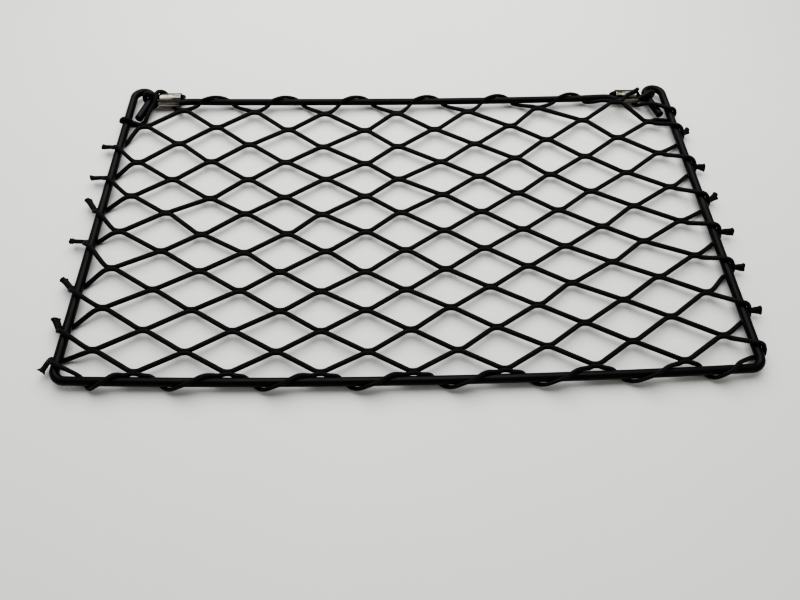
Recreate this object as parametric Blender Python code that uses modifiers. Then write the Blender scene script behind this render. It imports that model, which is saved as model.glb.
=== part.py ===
"""Framed storage net: a bent rod frame, an elastic top edge and a knotless net.

Metres, +Z up. The frame lies flat: +X runs along the bottom bar to the right,
+Y runs from the bottom bar to the elastic edge. The origin is the middle of the
outer box at the height of the surface the net lies on.
"""

import math
from collections import namedtuple

import bmesh
import bpy
from mathutils import Matrix, Vector

MM = 0.001
GAP = 0.3 * MM  # what pieces that touch keep between them

# Rod frame. The bottom bar's corners lie on y = 0 before the origin is moved.
ROD = 6.0 * MM
HALF_WIDTH = 225.0 * MM  # from the middle to a side bar's centre line
CORNER_RADIUS = 8.0 * MM
CORNER_STEPS = 6
BAR_BOW = 4.2 * MM  # how far the net's pull bows the bottom bar
BAR_END_Y = 1.0 * MM
BAR_STEPS = 16
EYE_RADIUS = 7.5 * MM
EYE_Y = 264.5 * MM  # centre of the eye's bend
EYE_TURN = math.radians(195.0)
EYE_STEPS = 13
EYE_LEG = 25.0 * MM  # the straight end that comes back beside the side bar

# Net: oval cords, fused two by two where neighbouring zigzags meet.
CORD_WIDTH = 2.2 * MM  # where the cord is drawn tight round a bar
CORD_HEIGHT = 3.2 * MM
NET_WIDTH = 3.1 * MM  # and where it is free
NET_HEIGHT = 3.4 * MM
CORD_SIDES = 6
LAST_COLUMN = 7
COLUMN_PITCH = 29.4 * MM
COLUMN_SHIFT = -1.0 * MM
ROW_Y = [y * MM for y in (3.6, 18, 34, 51, 67, 83, 101, 118, 137, 152, 170, 187, 206, 225, 245)]
TOP_ROW = len(ROW_Y) - 1
LIFT_LEFT = 4.5 * MM  # how much higher the joints at the two sides lie
LIFT_RIGHT = 7.5 * MM
JOINT_X = 4.1 * MM  # from a joint's middle to where its cords part
JOINT_Y = 1.7 * MM
LEAD = math.radians(32.0)  # how steeply a cord leaves a joint for the frame
LIFTED_JOINT = (184.0 * MM, 253.4 * MM)
LIFTED = 5.5 * MM  # this joint lies on the edge of the right ferrule
LIFTED_X = 4.4 * MM
LIFTED_Y = 1.25 * MM
RIDGE = 0.3 * MM  # how far a joint stands above its cords
RIDGE_X = 2.4 * MM
CREASE = math.radians(50.0)  # sharper edges than this aren't shaded smooth

# Elastic edge.
ELASTIC = 4.6 * MM
SQUEEZED = 3.0 * MM  # where it is pulled tight under the rod
TIGHT = 4.0 * MM  # and over it
LOOP_FROM = math.radians(48.0)  # where on the eye's leg the loop begins to touch it
LOOP_STEPS = 9
LOOP_SLACK = 0.15 * MM
LOOP_SLOPE = 1.6 * MM  # how much nearer each other its two sides are on the leg
STUB = 2.6 * MM  # its cut end beyond the ferrule
PRESSED = 3.8 * MM  # inside a ferrule
MOUTH = 0.9 * MM  # how far it runs straight out of a ferrule
ELASTIC_Y = 257.5 * MM
ELASTIC_RISE_LEFT = 1.5 * MM
ELASTIC_RISE_RIGHT = 3.2 * MM
ELASTIC_RISE_X = 180.0 * MM  # where it has risen that far
ELASTIC_STEPS = 12
ELASTIC_BEND = 8.0 * MM  # where it leaves a ferrule for its straight run

# Ferrules.
SHEET = 1.0 * MM
LOBE = 5.0 * MM  # from a ferrule's middle to each cord inside it
LOBE_STEPS = 8
LOBE_RADIUS = PRESSED / 2 + GAP + SHEET / 2
FERRULE_LENGTH = 17.6 * MM
FERRULE_LIFT = 0.4 * MM
FERRULE_LEFT = (-194.2 * MM, 261.3 * MM)
FERRULE_RIGHT = (192.8 * MM, 261.8 * MM)
SEAM = ((0.75, -1.2), (0.95, 0.2), (1.6, 1.5), (2.9, 2.45))  # (across, up) in millimetres

# Knots outside the side bars.
KNOT_X = 230.3 * MM
KNOT_HALF = 1.5 * MM
KNOT_DROP = 6.0 * MM  # a right-hand cord runs down beside the bar before its knot
KNOT_RING = 3.4 * MM
KNOT_RISE = 0.5 * MM
TAIL_ROOT_LEFT = 3.0 * MM
TAIL_ROOT_RIGHT = 3.8 * MM
TAIL_FLARE = 1.4 * MM
TAIL_DROOP = 0.6 * MM
CORNER_WRAP_X = 214.0 * MM

# Heights. The wraps under the rod lie on the surface, and the rod lies on them.
LEVEL = CORD_HEIGHT + GAP + ROD / 2
WRAP_HIGH = ROD / 2 + GAP + CORD_HEIGHT / 2  # a wrap's centre line, over or under the rod
WRAP_WIDE = ROD / 2 + GAP + CORD_WIDTH / 2  # and beside it
WRAP_STEPS = 8
TOP_WRAP_HALF = 13.0 * MM  # along the elastic, half of a turn round it
TOP_WRAP_SHIFT = -4.0 * MM

BOX_TOP = EYE_Y + EYE_RADIUS + ROD / 2
BOX_BOTTOM = BAR_END_Y - BAR_BOW - WRAP_WIDE - CORD_WIDTH / 2
ORIGIN_Y = (BOX_TOP + BOX_BOTTOM) / 2

BLACK_STEEL = ((0.012, 0.012, 0.013), 0.38, 0.4)
BLACK_CORD = ((0.010, 0.010, 0.011), 0.75, 0.0)
BLACK_ELASTIC = ((0.011, 0.011, 0.013), 0.60, 0.0)
BRIGHT_METAL = ((0.55, 0.54, 0.48), 0.30, 1.0)

# Where each cord comes round a side bar, from the top down, in millimetres:
# the knot outside the bar, where the cords over and under the bar reach its inner side,
# the cut end's reach outwards and upwards from the knot, and its width.
KNOT_COLUMNS = ("knot", "over", "under", "tail_out", "tail_up", "tail_width")
LEFT_KNOTS = (
    (206.0, 200.2, 210.5, 7.6, 1.2, 4.0),
    (173.0, 167.0, 177.5, 9.2, 0.6, 4.0),
    (140.5, 132.7, 143.6, 7.0, 9.8, 3.0),
    (110.8, 102.2, 113.9, 9.7, 1.4, 4.0),
    (70.5, 63.6, 73.5, 6.7, 7.2, 3.0),
    (38.5, 33.1, 41.7, 4.2, 7.4, 3.0),
    (16.0, 10.5, 17.5, 3.2, -7.0, 3.6),
)
RIGHT_KNOTS = (
    (215.5, 228.0, 202.5, 4.9, 4.2, 3.2),
    (178.5, 190.8, 170.5, 6.6, -0.3, 4.2),
    (142.5, 152.2, 132.6, 6.7, 5.1, 3.0),
    (112.5, 121.0, 100.6, 9.0, 0.6, 3.6),
    (80.5, 90.0, 73.7, 6.8, 0.3, 3.6),
    (44.3, 53.0, 33.9, 7.2, 0.8, 3.6),
    (13.6, 21.8, 10.5, 0.0, 0.0, 0.0),
)

# The cord's way from the net to each top corner, in millimetres: across, along the side bar,
# and up from the rod's centre line.
LEFT_CORNER = (
    (-184.8, 250.9, -2.4),
    (-187.6, 253.0, -4.6),
    (-191.0, 257.0, -4.7),
    (-194.6, 262.0, -4.7),
    (-198.2, 267.8, -4.7),
    (-200.6, 271.2, -3.6),
    (-202.8, 272.8, -1.2),
    (-204.8, 272.6, 1.6),
    (-205.6, 270.8, 5.0),
    (-205.2, 267.6, 7.9),
    (-204.9, 263.6, 8.1),
    (-205.0, 259.4, 7.0),
    (-205.4, 255.2, 5.0),
    (-206.8, 251.6, 1.8),
    (-208.8, 249.6, -2.8),
    (-211.8, 247.4, -4.9),
    (-216.0, 244.6, -4.9),
    (-220.8, 241.6, -4.9),
)
RIGHT_CORNER = (
    (192.5, 258.6, 5.5),
    (199.2, 265.2, 5.5),
    (202.4, 268.9, 5.5),
    (204.2, 271.6, 3.6),
    (205.2, 273.0, 1.2),
    (204.6, 273.2, -1.4),
    (203.0, 271.6, -3.6),
    (201.4, 268.8, -4.7),
    (200.2, 262.0, -4.7),
    (200.2, 254.8, -4.7),
    (201.4, 251.9, -3.2),
    (204.2, 250.6, -0.4),
    (207.6, 249.6, 2.6),
    (211.0, 249.0, 4.7),
    (214.4, 248.4, 4.9),
    (219.2, 247.2, 4.9),
)
# How the cord then goes round the side bar, in millimetres: over or under the bar first, where
# it starts and ends its way out, its farthest point, and where it ends and starts its way back.
TURN_COLUMNS = ("over", "out_from", "out_to", "turn_x", "turn_y", "back_to", "back_from")
LEFT_TURN = (False, 240.6, 236.4, -230.5, 235.4, 234.2, 234.9)
RIGHT_TURN = (True, 246.9, 245.2, 230.4, 244.4, 234.5, 243.4)
# The last run beside the elastic: along it, inwards from it, and up, in millimetres.
LAST_RUN = ((164.0, 4.2, -0.2), (171.0, 4.4, 2.4), (176.4, 5.0, 4.6))

Knot = namedtuple("Knot", "centre over under tail tail_width over_key under_key")


def start_scene():
    """Empty the scene and make the collection and the empty that carries the pieces."""
    for old in list(bpy.data.objects):
        bpy.data.objects.remove(old)
    collection = bpy.data.collections.new("framed_storage_net")
    bpy.context.scene.collection.children.link(collection)
    carrier = bpy.data.objects.new("origin_of_frame", None)
    carrier.location = (0.0, -ORIGIN_Y, 0.0)
    collection.objects.link(carrier)
    return collection, carrier


def material(name, finish):
    """A Principled material from a colour, a roughness and a metallic value."""
    colour, roughness, metallic = finish
    made = bpy.data.materials.new(name)
    made.use_nodes = True
    shader = made.node_tree.nodes["Principled BSDF"]
    shader.inputs["Base Color"].default_value = (*colour, 1.0)
    shader.inputs["Roughness"].default_value = roughness
    shader.inputs["Metallic"].default_value = metallic
    return made


def place(name, data, finish, collection, carrier):
    """Make an object of the data, with its own material, on the carrier."""
    made = bpy.data.objects.new(name, data)
    made.parent = carrier
    data.materials.append(material(name, finish))
    collection.objects.link(made)
    return made


def tube(name, points, diameter, finish, collection, carrier, resolution=2):
    """A round tube through the points; a fourth number is the point's share of the diameter."""
    curve = bpy.data.curves.new(name, "CURVE")
    curve.dimensions = "3D"
    curve.twist_mode = "MINIMUM"
    curve.bevel_depth = diameter / 2
    curve.bevel_resolution = resolution
    curve.render_resolution_u = 0
    curve.use_fill_caps = True
    spline = curve.splines.new("POLY")
    spline.points.add(len(points) - 1)
    for point, place_at in zip(spline.points, points):
        point.co = (*place_at[:3], 1.0)
        point.radius = place_at[3] if len(place_at) > 3 else 1.0
    return place(name, curve, finish, collection, carrier)


def between(start, end, share):
    """The value that lies the given share of the way from start to end."""
    return start + (end - start) * share


def bar_y(x):
    """The bottom bar's centre line, bowed outwards by the net."""
    return BAR_END_Y - BAR_BOW * (1 - (x / (HALF_WIDTH - CORNER_RADIUS)) ** 2)


def elastic_y(x):
    """The elastic's centre line, drawn inwards by the net."""
    rise = ELASTIC_RISE_LEFT if x < 0 else ELASTIC_RISE_RIGHT
    return ELASTIC_Y + rise * (x / ELASTIC_RISE_X) ** 2


# ---------------------------------------------------------------- rod frame


def eye_centre(side):
    """The centre of an eye's bend."""
    return Vector((side * (HALF_WIDTH - EYE_RADIUS), EYE_Y, LEVEL))


def eye_leg(side):
    """The start and the direction of the eye's straight end."""
    angle = math.pi - EYE_TURN
    start = eye_centre(side) + EYE_RADIUS * Vector((-side * math.cos(angle), math.sin(angle), 0))
    along = Vector((-side * math.sin(angle), -math.cos(angle), 0))
    return start, along


def side_points(side):
    """The rod from the bottom corner up a side bar and round its eye."""
    points = []
    corner = Vector((side * (HALF_WIDTH - CORNER_RADIUS), BAR_END_Y + CORNER_RADIUS, LEVEL))
    for step in range(CORNER_STEPS + 1):
        angle = math.pi / 2 * (step / CORNER_STEPS - 1)
        points.append(corner + CORNER_RADIUS * Vector((side * math.cos(angle), math.sin(angle), 0)))
    for step in range(EYE_STEPS + 1):
        angle = EYE_TURN * step / EYE_STEPS
        reach = Vector((side * math.cos(angle), math.sin(angle), 0))
        points.append(eye_centre(side) + EYE_RADIUS * reach)
    start, along = eye_leg(side)
    points.append(start + along * EYE_LEG)
    return points


def make_frame_rod(collection, carrier):
    """The rod: two eyes, two side bars and the bottom bar, bent from one length."""
    inner = HALF_WIDTH - CORNER_RADIUS
    bar = []
    for step in range(1, BAR_STEPS):
        x = between(-inner, inner, step / BAR_STEPS)
        bar.append(Vector((x, bar_y(x), LEVEL)))
    points = side_points(-1)[::-1] + bar + side_points(1)
    return tube("frame_rod", points, ROD, BLACK_STEEL, collection, carrier, resolution=4)


# ---------------------------------------------------------------- elastic edge


def ferrule_middle(side):
    """A ferrule's middle. The elastic's long run goes through its lobe nearer the net."""
    x, y = FERRULE_RIGHT if side > 0 else FERRULE_LEFT
    return Vector((x, y, LEVEL + FERRULE_LIFT))


def loop_points(side):
    """The elastic from its cut end, through the ferrule, round the eye's leg and back."""
    middle = ferrule_middle(side)
    inner = middle.x - side * FERRULE_LENGTH / 2
    outer = middle.x + side * (FERRULE_LENGTH / 2 + MOUTH)
    pressed = PRESSED / ELASTIC
    upper = middle.y + LOBE
    lower = middle.y - LOBE
    start, along = eye_leg(side)
    across = Vector((-side * along.y, side * along.x, 0))  # from the leg to the side bar
    over_first = -side  # the left loop goes over the leg first, the right one under it
    points = [(inner - side * STUB, upper, middle.z, pressed), (outer, upper, middle.z, pressed)]
    for step in range(LOOP_STEPS + 1):
        share = step / LOOP_STEPS
        turn = between(LOOP_FROM, math.tau - LOOP_FROM, share)
        lifted = over_first * math.sin(turn)
        thick = between(SQUEEZED, TIGHT, (1 + lifted) / 2)
        reach = ROD / 2 + GAP + LOOP_SLACK + thick / 2
        y = between(upper - LOOP_SLOPE, lower + LOOP_SLOPE, share)
        leg = start + along * ((start.y - y) / -along.y)
        at = leg - across * reach * math.cos(turn)
        points.append((at.x, at.y, LEVEL + reach * lifted, thick / ELASTIC))
    points.append((outer, lower, middle.z, pressed))
    points.append((inner - side * MOUTH, lower, middle.z, pressed))
    return points


def make_edge_cord(collection, carrier):
    """The elastic cord, looped round the legs of both eyes."""
    left = loop_points(-1)
    right = loop_points(1)
    start = left[-1][0] + ELASTIC_BEND
    end = right[-1][0] - ELASTIC_BEND
    run = []
    for step in range(ELASTIC_STEPS + 1):
        x = between(start, end, step / ELASTIC_STEPS)
        run.append((x, elastic_y(x), LEVEL, 1.0))
    points = left + run + right[::-1]
    return tube("edge_cord", points, ELASTIC, BLACK_ELASTIC, collection, carrier)


def ferrule_profile():
    """Half of the sheet's centre line across the cords, from the seam to the flat back."""
    points = [(y * MM, z * MM) for y, z in SEAM]
    for step in range(LOBE_STEPS + 1):
        angle = math.pi * (0.5 - step / LOBE_STEPS)
        points.append((LOBE + LOBE_RADIUS * math.cos(angle), LOBE_RADIUS * math.sin(angle)))
    return points


def make_ferrule(name, side, collection, carrier):
    """A strip of sheet rolled round both runs of the elastic and pressed."""
    half = ferrule_profile()
    profile = half + [(-y, z) for y, z in reversed(half)]
    mesh = bpy.data.meshes.new(name)
    shape = bmesh.new()
    row = [shape.verts.new((-FERRULE_LENGTH / 2, y, z)) for y, z in profile]
    edges = [shape.edges.new(pair) for pair in zip(row, row[1:])]
    swept = bmesh.ops.extrude_edge_only(shape, edges=edges)
    moved = [item for item in swept["geom"] if isinstance(item, bmesh.types.BMVert)]
    bmesh.ops.translate(shape, verts=moved, vec=(FERRULE_LENGTH, 0, 0))
    bmesh.ops.recalc_face_normals(shape, faces=shape.faces)
    shape.to_mesh(mesh)
    shape.free()
    mesh.shade_smooth()
    made = place(name, mesh, BRIGHT_METAL, collection, carrier)
    made.location = ferrule_middle(side)
    solid = made.modifiers.new("sheet", "SOLIDIFY")
    solid.thickness = SHEET
    solid.offset = 0.0
    solid.use_even_offset = True
    return made


# ---------------------------------------------------------------- net


def is_lifted(column, row):
    """Whether it is the joint at the top right that lies over its ferrule's edge."""
    return (column, row) == (LAST_COLUMN - 1, TOP_ROW)


def joint_centre(column, row):
    """The middle of a joint."""
    if is_lifted(column, row):
        return Vector((*LIFTED_JOINT, LEVEL + LIFTED))
    lift = LIFT_LEFT if column < 0 else LIFT_RIGHT
    y = ROW_Y[row] + lift * (column / LAST_COLUMN) ** 2
    return Vector((column * COLUMN_PITCH + COLUMN_SHIFT, y, LEVEL))


def add_ring(shape, centre, heading, width=CORD_WIDTH, upright=True, high=CORD_HEIGHT):
    """An oval ring across the cord. An upright one has its lowest side level."""
    forward = Vector((heading.x, heading.y, 0.0 if upright else heading.z)).normalized()
    across = forward.cross(Vector((0, 0, 1))).normalized()
    up = across.cross(forward)
    turn = Matrix((across, up, -forward)).transposed().to_4x4()
    height = high / math.cos(math.pi / CORD_SIDES)
    size = Matrix.Diagonal((width / 2, height / 2, 1.0, 1.0))
    flat = Matrix.Rotation(math.pi / CORD_SIDES, 4, "Z")
    ring = bmesh.ops.create_circle(
        shape,
        cap_ends=False,
        segments=CORD_SIDES,
        radius=1.0,
        matrix=Matrix.Translation(centre) @ turn @ size @ flat,
    )
    return ring["verts"]


def loft(shape, first, second):
    """The cord's skin between two rings."""
    edges = set()
    for ring in (first, second):
        inside = set(ring)
        for vert in ring:
            edges.update(edge for edge in vert.link_edges if set(edge.verts) <= inside)
    bmesh.ops.bridge_loops(shape, edges=list(edges))


def add_cord(shape, first, points, last=None, width=CORD_WIDTH, upright=True):
    """A cord from one ring through the points to another ring, or to a capped end."""
    ring = first
    before = centre_of(first)
    for index, point in enumerate(points):
        if index + 1 < len(points):
            after = points[index + 1]
        else:
            after = centre_of(last) if last else point * 2 - before
        following = add_ring(shape, point, after - before, width, upright)
        loft(shape, ring, following)
        ring = following
        before = point
    if last:
        loft(shape, ring, last)
    else:
        bmesh.ops.contextual_create(shape, geom=ring)


def centre_of(ring):
    """The middle of a ring of vertices."""
    return sum((vert.co for vert in ring), Vector()) / len(ring)


def add_hull(shape, rings, ridges=()):
    """The fused body between cords: the hull of their rings, left open at each ring."""
    crests = [shape.verts.new(point) for point in ridges]
    verts = [vert for ring in rings for vert in ring] + crests
    made = bmesh.ops.convex_hull(shape, input=verts)
    faces = {item for item in made["geom"] if isinstance(item, bmesh.types.BMFace)}
    caps = []
    for ring in rings:
        inside = set(ring)
        caps += [face for face in faces if set(face.verts) <= inside]
    bmesh.ops.delete(shape, geom=caps, context="FACES")


def crests_of(centre, high):
    """The points that raise a joint above and below its cords."""
    points = []
    for along in (-RIDGE_X, RIDGE_X):
        for up in (-1, 1):
            points.append(centre + Vector((along, 0, up * (high / 2 + RIDGE))))
    return points


def neighbour(column, row, right, up):
    """The joint that a cord leads to, or None past the net's last row or column."""
    there = (column + (1 if right else -1), row + (1 if up else -1))
    if abs(there[0]) > LAST_COLUMN or not 0 <= there[1] < len(ROW_Y):
        return None
    return there


def ring_centre(column, row, right, up):
    """Where a cord leaves its joint."""
    x, y = (LIFTED_X, LIFTED_Y) if is_lifted(column, row) else (JOINT_X, JOINT_Y)
    return joint_centre(column, row) + Vector((x if right else -x, y if up else -y, 0))


def spread(right, up):
    """The direction in which a cord leaves a joint or a knot for the frame."""
    return Vector((math.cos(LEAD) * (1 if right else -1), math.sin(LEAD) * (1 if up else -1), 0))


def add_joint(shape, column, row):
    """A joint with its four rings, each turned to where its cord goes."""
    wide, high = NET_WIDTH, NET_HEIGHT
    if is_lifted(column, row):
        wide, high = CORD_WIDTH, CORD_HEIGHT
    rings = {}
    for right in (False, True):
        for up in (False, True):
            key = (column, row, right, up)
            start = ring_centre(*key)
            there = neighbour(*key)
            if there:
                heading = ring_centre(*there, not right, not up) - start
            else:
                heading = spread(right, up)
            rings[key] = add_ring(shape, start, heading, wide, high=high)
    add_hull(shape, list(rings.values()), crests_of(joint_centre(column, row), high))
    return rings


def around(centre, wide, high, turn):
    """A corner of a wrap, whose sides lie wide beside the rod and high over and under it.

    Turn 0 is beside it and a quarter of a turn is over it.
    """
    stretch = 1 / math.cos(math.pi / WRAP_STEPS)
    return centre + Vector((wide * math.cos(turn), high * math.sin(turn))) * stretch


def wrap_turns(count=WRAP_STEPS):
    """The angles at a wrap's corners, so that its sides lie flat over, under and beside."""
    return [math.tau / WRAP_STEPS * (step + 0.5) for step in range(count)]


def bottom_wrap(start_x, end_x):
    """A cord's turn round the bottom bar: under it, out, over it and back."""
    points = []
    for turn in wrap_turns():
        x = between(start_x, end_x, turn / math.tau)
        at = around(Vector((bar_y(x), LEVEL)), WRAP_WIDE, WRAP_HIGH, -turn)
        points.append(Vector((x, at.x, at.y)))
    return points


def top_wrap(middle_x):
    """A cord's turn round the elastic: over it, out, under it and back."""
    narrow = (ROD - ELASTIC) / 2
    points = []
    for turn in wrap_turns():
        x = middle_x + TOP_WRAP_HALF * (turn / math.pi - 1)
        at = around(Vector((0, LEVEL)), WRAP_WIDE - narrow, WRAP_HIGH - narrow, turn)
        points.append(Vector((x, elastic_y(x) - at.x, at.y)))
    return points


def side_wrap(side, inner_y, outer_y, over, wide=WRAP_WIDE):
    """A cord's half turn over or under a side bar, from the net to the outside."""
    points = []
    sign = 1 if over else -1
    for turn in wrap_turns(WRAP_STEPS // 2):
        at = around(Vector((0, LEVEL)), wide, WRAP_HIGH, sign * turn)
        y = between(inner_y, outer_y, turn / math.pi)
        points.append(Vector((side * (HALF_WIDTH - at.x), y, at.y)))
    return points


def corner_route(side):
    """The cord's way from the last top joint round its ferrule and eye to the side joint.

    On the left it goes under the ferrule and over the elastic, on the right the other
    way about.
    """
    turn = dict(zip(TURN_COLUMNS, LEFT_TURN if side < 0 else RIGHT_TURN))
    over = turn["over"]
    outward = side_wrap(side, turn["out_from"] * MM, turn["out_to"] * MM, over, WRAP_HIGH)
    back = side_wrap(side, turn["back_to"] * MM, turn["back_from"] * MM, not over, WRAP_HIGH)
    farthest = Vector((turn["turn_x"] * MM, turn["turn_y"] * MM, LEVEL))
    route = LEFT_CORNER if side < 0 else RIGHT_CORNER
    points = [Vector((x * MM, y * MM, LEVEL + z * MM)) for x, y, z in route]
    return points + outward[1:] + [farthest] + back[::-1]


def corner_wrap(side):
    """The turn round the bottom bar between its last joint and the corner."""
    joint_x = ring_centre(side * (LAST_COLUMN - 1), 0, side > 0, False).x
    if side > 0:
        return bottom_wrap(joint_x, CORNER_WRAP_X)
    return bottom_wrap(-CORNER_WRAP_X, joint_x)


def last_top_wrap():
    """The last turn round the elastic, which ends beside it and climbs to the lifted joint."""
    start = joint_centre(LAST_COLUMN - 3, TOP_ROW).x
    end = joint_centre(LAST_COLUMN - 1, TOP_ROW).x
    points = top_wrap((start + end) / 2 + TOP_WRAP_SHIFT)
    for x, inwards, up in LAST_RUN:
        points.append(Vector((x * MM, elastic_y(x * MM) - inwards * MM, LEVEL + up * MM)))
    return points


def edge_cords():
    """The cords that leave one joint and reach another round the frame or the elastic."""
    cords = []
    for column in range(1 - LAST_COLUMN, LAST_COLUMN - 1, 2):
        start = (column, 0, True, False)
        end = (column + 2, 0, False, False)
        wrap = bottom_wrap(ring_centre(*start).x, ring_centre(*end).x)
        cords.append((start, wrap, end))
        start = (column, TOP_ROW, True, True)
        end = (column + 2, TOP_ROW, False, True)
        if column + 2 == LAST_COLUMN - 1:
            wrap = last_top_wrap()
        else:
            middle = (ring_centre(*start).x + ring_centre(*end).x) / 2
            wrap = top_wrap(middle + TOP_WRAP_SHIFT)
        cords.append((start, wrap, end))
    last = side_knots(1)[-1]
    turn = last.over[:-1] + [last.centre] + last.under[::-1] + corner_wrap(1)[::-1]
    cords.append(((LAST_COLUMN, 1, True, False), turn, (LAST_COLUMN - 1, 0, True, False)))
    return cords


def side_knots(side):
    """A side bar's knots, from the top down, with the points of the cords at each."""
    knots = []
    table = LEFT_KNOTS if side < 0 else RIGHT_KNOTS
    for index, row in enumerate(table):
        sizes = dict(zip(KNOT_COLUMNS, (value * MM for value in row)))
        centre = Vector((side * KNOT_X, sizes["knot"], LEVEL))
        if side < 0:
            over = side_wrap(side, sizes["over"], centre.y - KNOT_HALF, True)
            under = side_wrap(side, sizes["under"], centre.y + KNOT_HALF, False)
        else:
            over = side_wrap(side, sizes["over"], centre.y + KNOT_DROP, True)
            over.append(centre + Vector((0, KNOT_RING, KNOT_RISE)))
            under = side_wrap(side, sizes["under"], centre.y - KNOT_HALF, False)
        tail = Vector((side * sizes["tail_out"], sizes["tail_up"], 0))
        upper = TOP_ROW - 1 - 2 * index
        upper_key = (side * LAST_COLUMN, upper, side > 0, False)
        lower_key = (side * LAST_COLUMN, upper - 2, side > 0, True)
        if side < 0:
            over_key, under_key = lower_key, upper_key
        else:
            over_key, under_key = upper_key, lower_key
        knots.append(Knot(centre, over, under, tail, sizes["tail_width"], over_key, under_key))
    return knots


def add_knot(shape, knot, rings):
    """A knot outside a side bar with its cut end and the cords over and under the bar."""
    root = TAIL_ROOT_RIGHT if knot.centre.x > 0 else TAIL_ROOT_LEFT
    away = knot.tail.normalized()
    right = knot.centre.x > 0
    over_way = Vector((0, 1, 0)) if right else spread(True, False)
    over_ring = add_ring(shape, knot.over[-1], over_way)
    under_ring = add_ring(shape, knot.under[-1], spread(not right, not right))
    tail_ring = add_ring(shape, knot.centre + away * root, knot.tail)
    add_hull(shape, [over_ring, under_ring, tail_ring])
    flare = knot.centre + away * (root + TAIL_FLARE)
    tip = knot.centre + knot.tail - Vector((0, 0, TAIL_DROOP))
    add_cord(shape, tail_ring, [flare, tip], width=knot.tail_width)
    add_cord(shape, under_ring, knot.under[-2::-1], rings[knot.under_key])
    over = knot.over[-2::-1]
    if knot.over_key in rings:
        add_cord(shape, over_ring, over, rings[knot.over_key])
    else:
        corner = (1 - LAST_COLUMN, 0, False, False)
        add_cord(shape, over_ring, over + corner_wrap(-1), rings[corner])


def make_net(collection, carrier):
    """The whole net as one body: joints, the cords between them, wraps and cut ends."""
    shape = bmesh.new()
    cords = edge_cords()
    knots = side_knots(-1) + side_knots(1)[:-1]
    rings = {}
    for column in range(-LAST_COLUMN, LAST_COLUMN + 1):
        for row in range((column + LAST_COLUMN + 1) % 2, len(ROW_Y), 2):
            rings.update(add_joint(shape, column, row))
    for key, ring in rings.items():
        there = neighbour(*key)
        if there and key[2]:
            loft(shape, ring, rings[(*there, not key[2], not key[3])])
    for start, points, end in cords:
        add_cord(shape, rings[start], points, rings[end])
    for side in (-1, 1):
        start = rings[side * (LAST_COLUMN - 1), TOP_ROW, side > 0, True]
        end = rings[side * LAST_COLUMN, TOP_ROW - 1, side > 0, True]
        add_cord(shape, start, corner_route(side), end, upright=False)
    for knot in knots:
        add_knot(shape, knot, rings)
    bmesh.ops.recalc_face_normals(shape, faces=shape.faces)
    mesh = bpy.data.meshes.new("net")
    shape.to_mesh(mesh)
    shape.free()
    mesh.shade_smooth()
    mesh.set_sharp_from_angle(angle=CREASE)
    return place("net", mesh, BLACK_CORD, collection, carrier)


def main():
    collection, carrier = start_scene()
    make_frame_rod(collection, carrier)
    make_edge_cord(collection, carrier)
    make_ferrule("ferrule_left", -1, collection, carrier)
    make_ferrule("ferrule_right", 1, collection, carrier)
    make_net(collection, carrier)


main()
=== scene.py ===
"""Dresses the framed storage net: a bent rod, an elastic edge with ferrules, and netting.

Metres, +Z up. The frame lies flat on the floor, +X runs along the bottom bar to the right
and +Y runs from the bottom bar to the elastic edge.
"""

from __future__ import annotations

import logging
import math
from collections.abc import Mapping, Sequence
from dataclasses import dataclass, field
from enum import Enum

import bmesh
import bpy
from mathutils import Matrix, Vector

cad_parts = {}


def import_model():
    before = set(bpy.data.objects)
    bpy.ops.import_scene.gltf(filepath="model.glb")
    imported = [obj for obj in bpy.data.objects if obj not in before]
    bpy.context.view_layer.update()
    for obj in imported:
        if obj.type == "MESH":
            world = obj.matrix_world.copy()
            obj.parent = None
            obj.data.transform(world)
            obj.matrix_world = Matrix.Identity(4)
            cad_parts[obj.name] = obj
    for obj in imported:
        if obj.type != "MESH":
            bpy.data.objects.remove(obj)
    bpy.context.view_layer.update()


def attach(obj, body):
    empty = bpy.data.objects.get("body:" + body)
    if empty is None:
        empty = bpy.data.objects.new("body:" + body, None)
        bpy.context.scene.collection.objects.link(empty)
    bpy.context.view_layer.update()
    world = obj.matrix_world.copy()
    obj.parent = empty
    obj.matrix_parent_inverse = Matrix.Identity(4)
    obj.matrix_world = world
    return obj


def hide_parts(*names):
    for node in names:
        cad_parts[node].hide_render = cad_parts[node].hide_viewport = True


LOG = logging.getLogger("framed_storage_net")

MM = 0.001
CORD_UV = "along_and_around"
SHARP_FROM = math.radians(62.0)
WELD = 1e-7

Point = tuple[float, float, float]
Frame = tuple[Vector, Vector, Vector]


class Side(Enum):
    """A side of the frame; the value is the sign of its x."""

    LEFT = -1
    RIGHT = 1

    def outward(self, angle: float) -> Vector:
        """A level direction, turned from straight outwards towards +Y by an angle."""
        return Vector((self.value * math.cos(angle), math.sin(angle), 0.0))


class Lace(Enum):
    """Which way a cord passes a bar."""

    OVER = 1
    UNDER = -1


class End(Enum):
    """How a tube ends."""

    FLAT = "flat"
    FRAYED = "frayed"
    SLANTED = "slanted"


# ------------------------------------------------------------------ sizes


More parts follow.
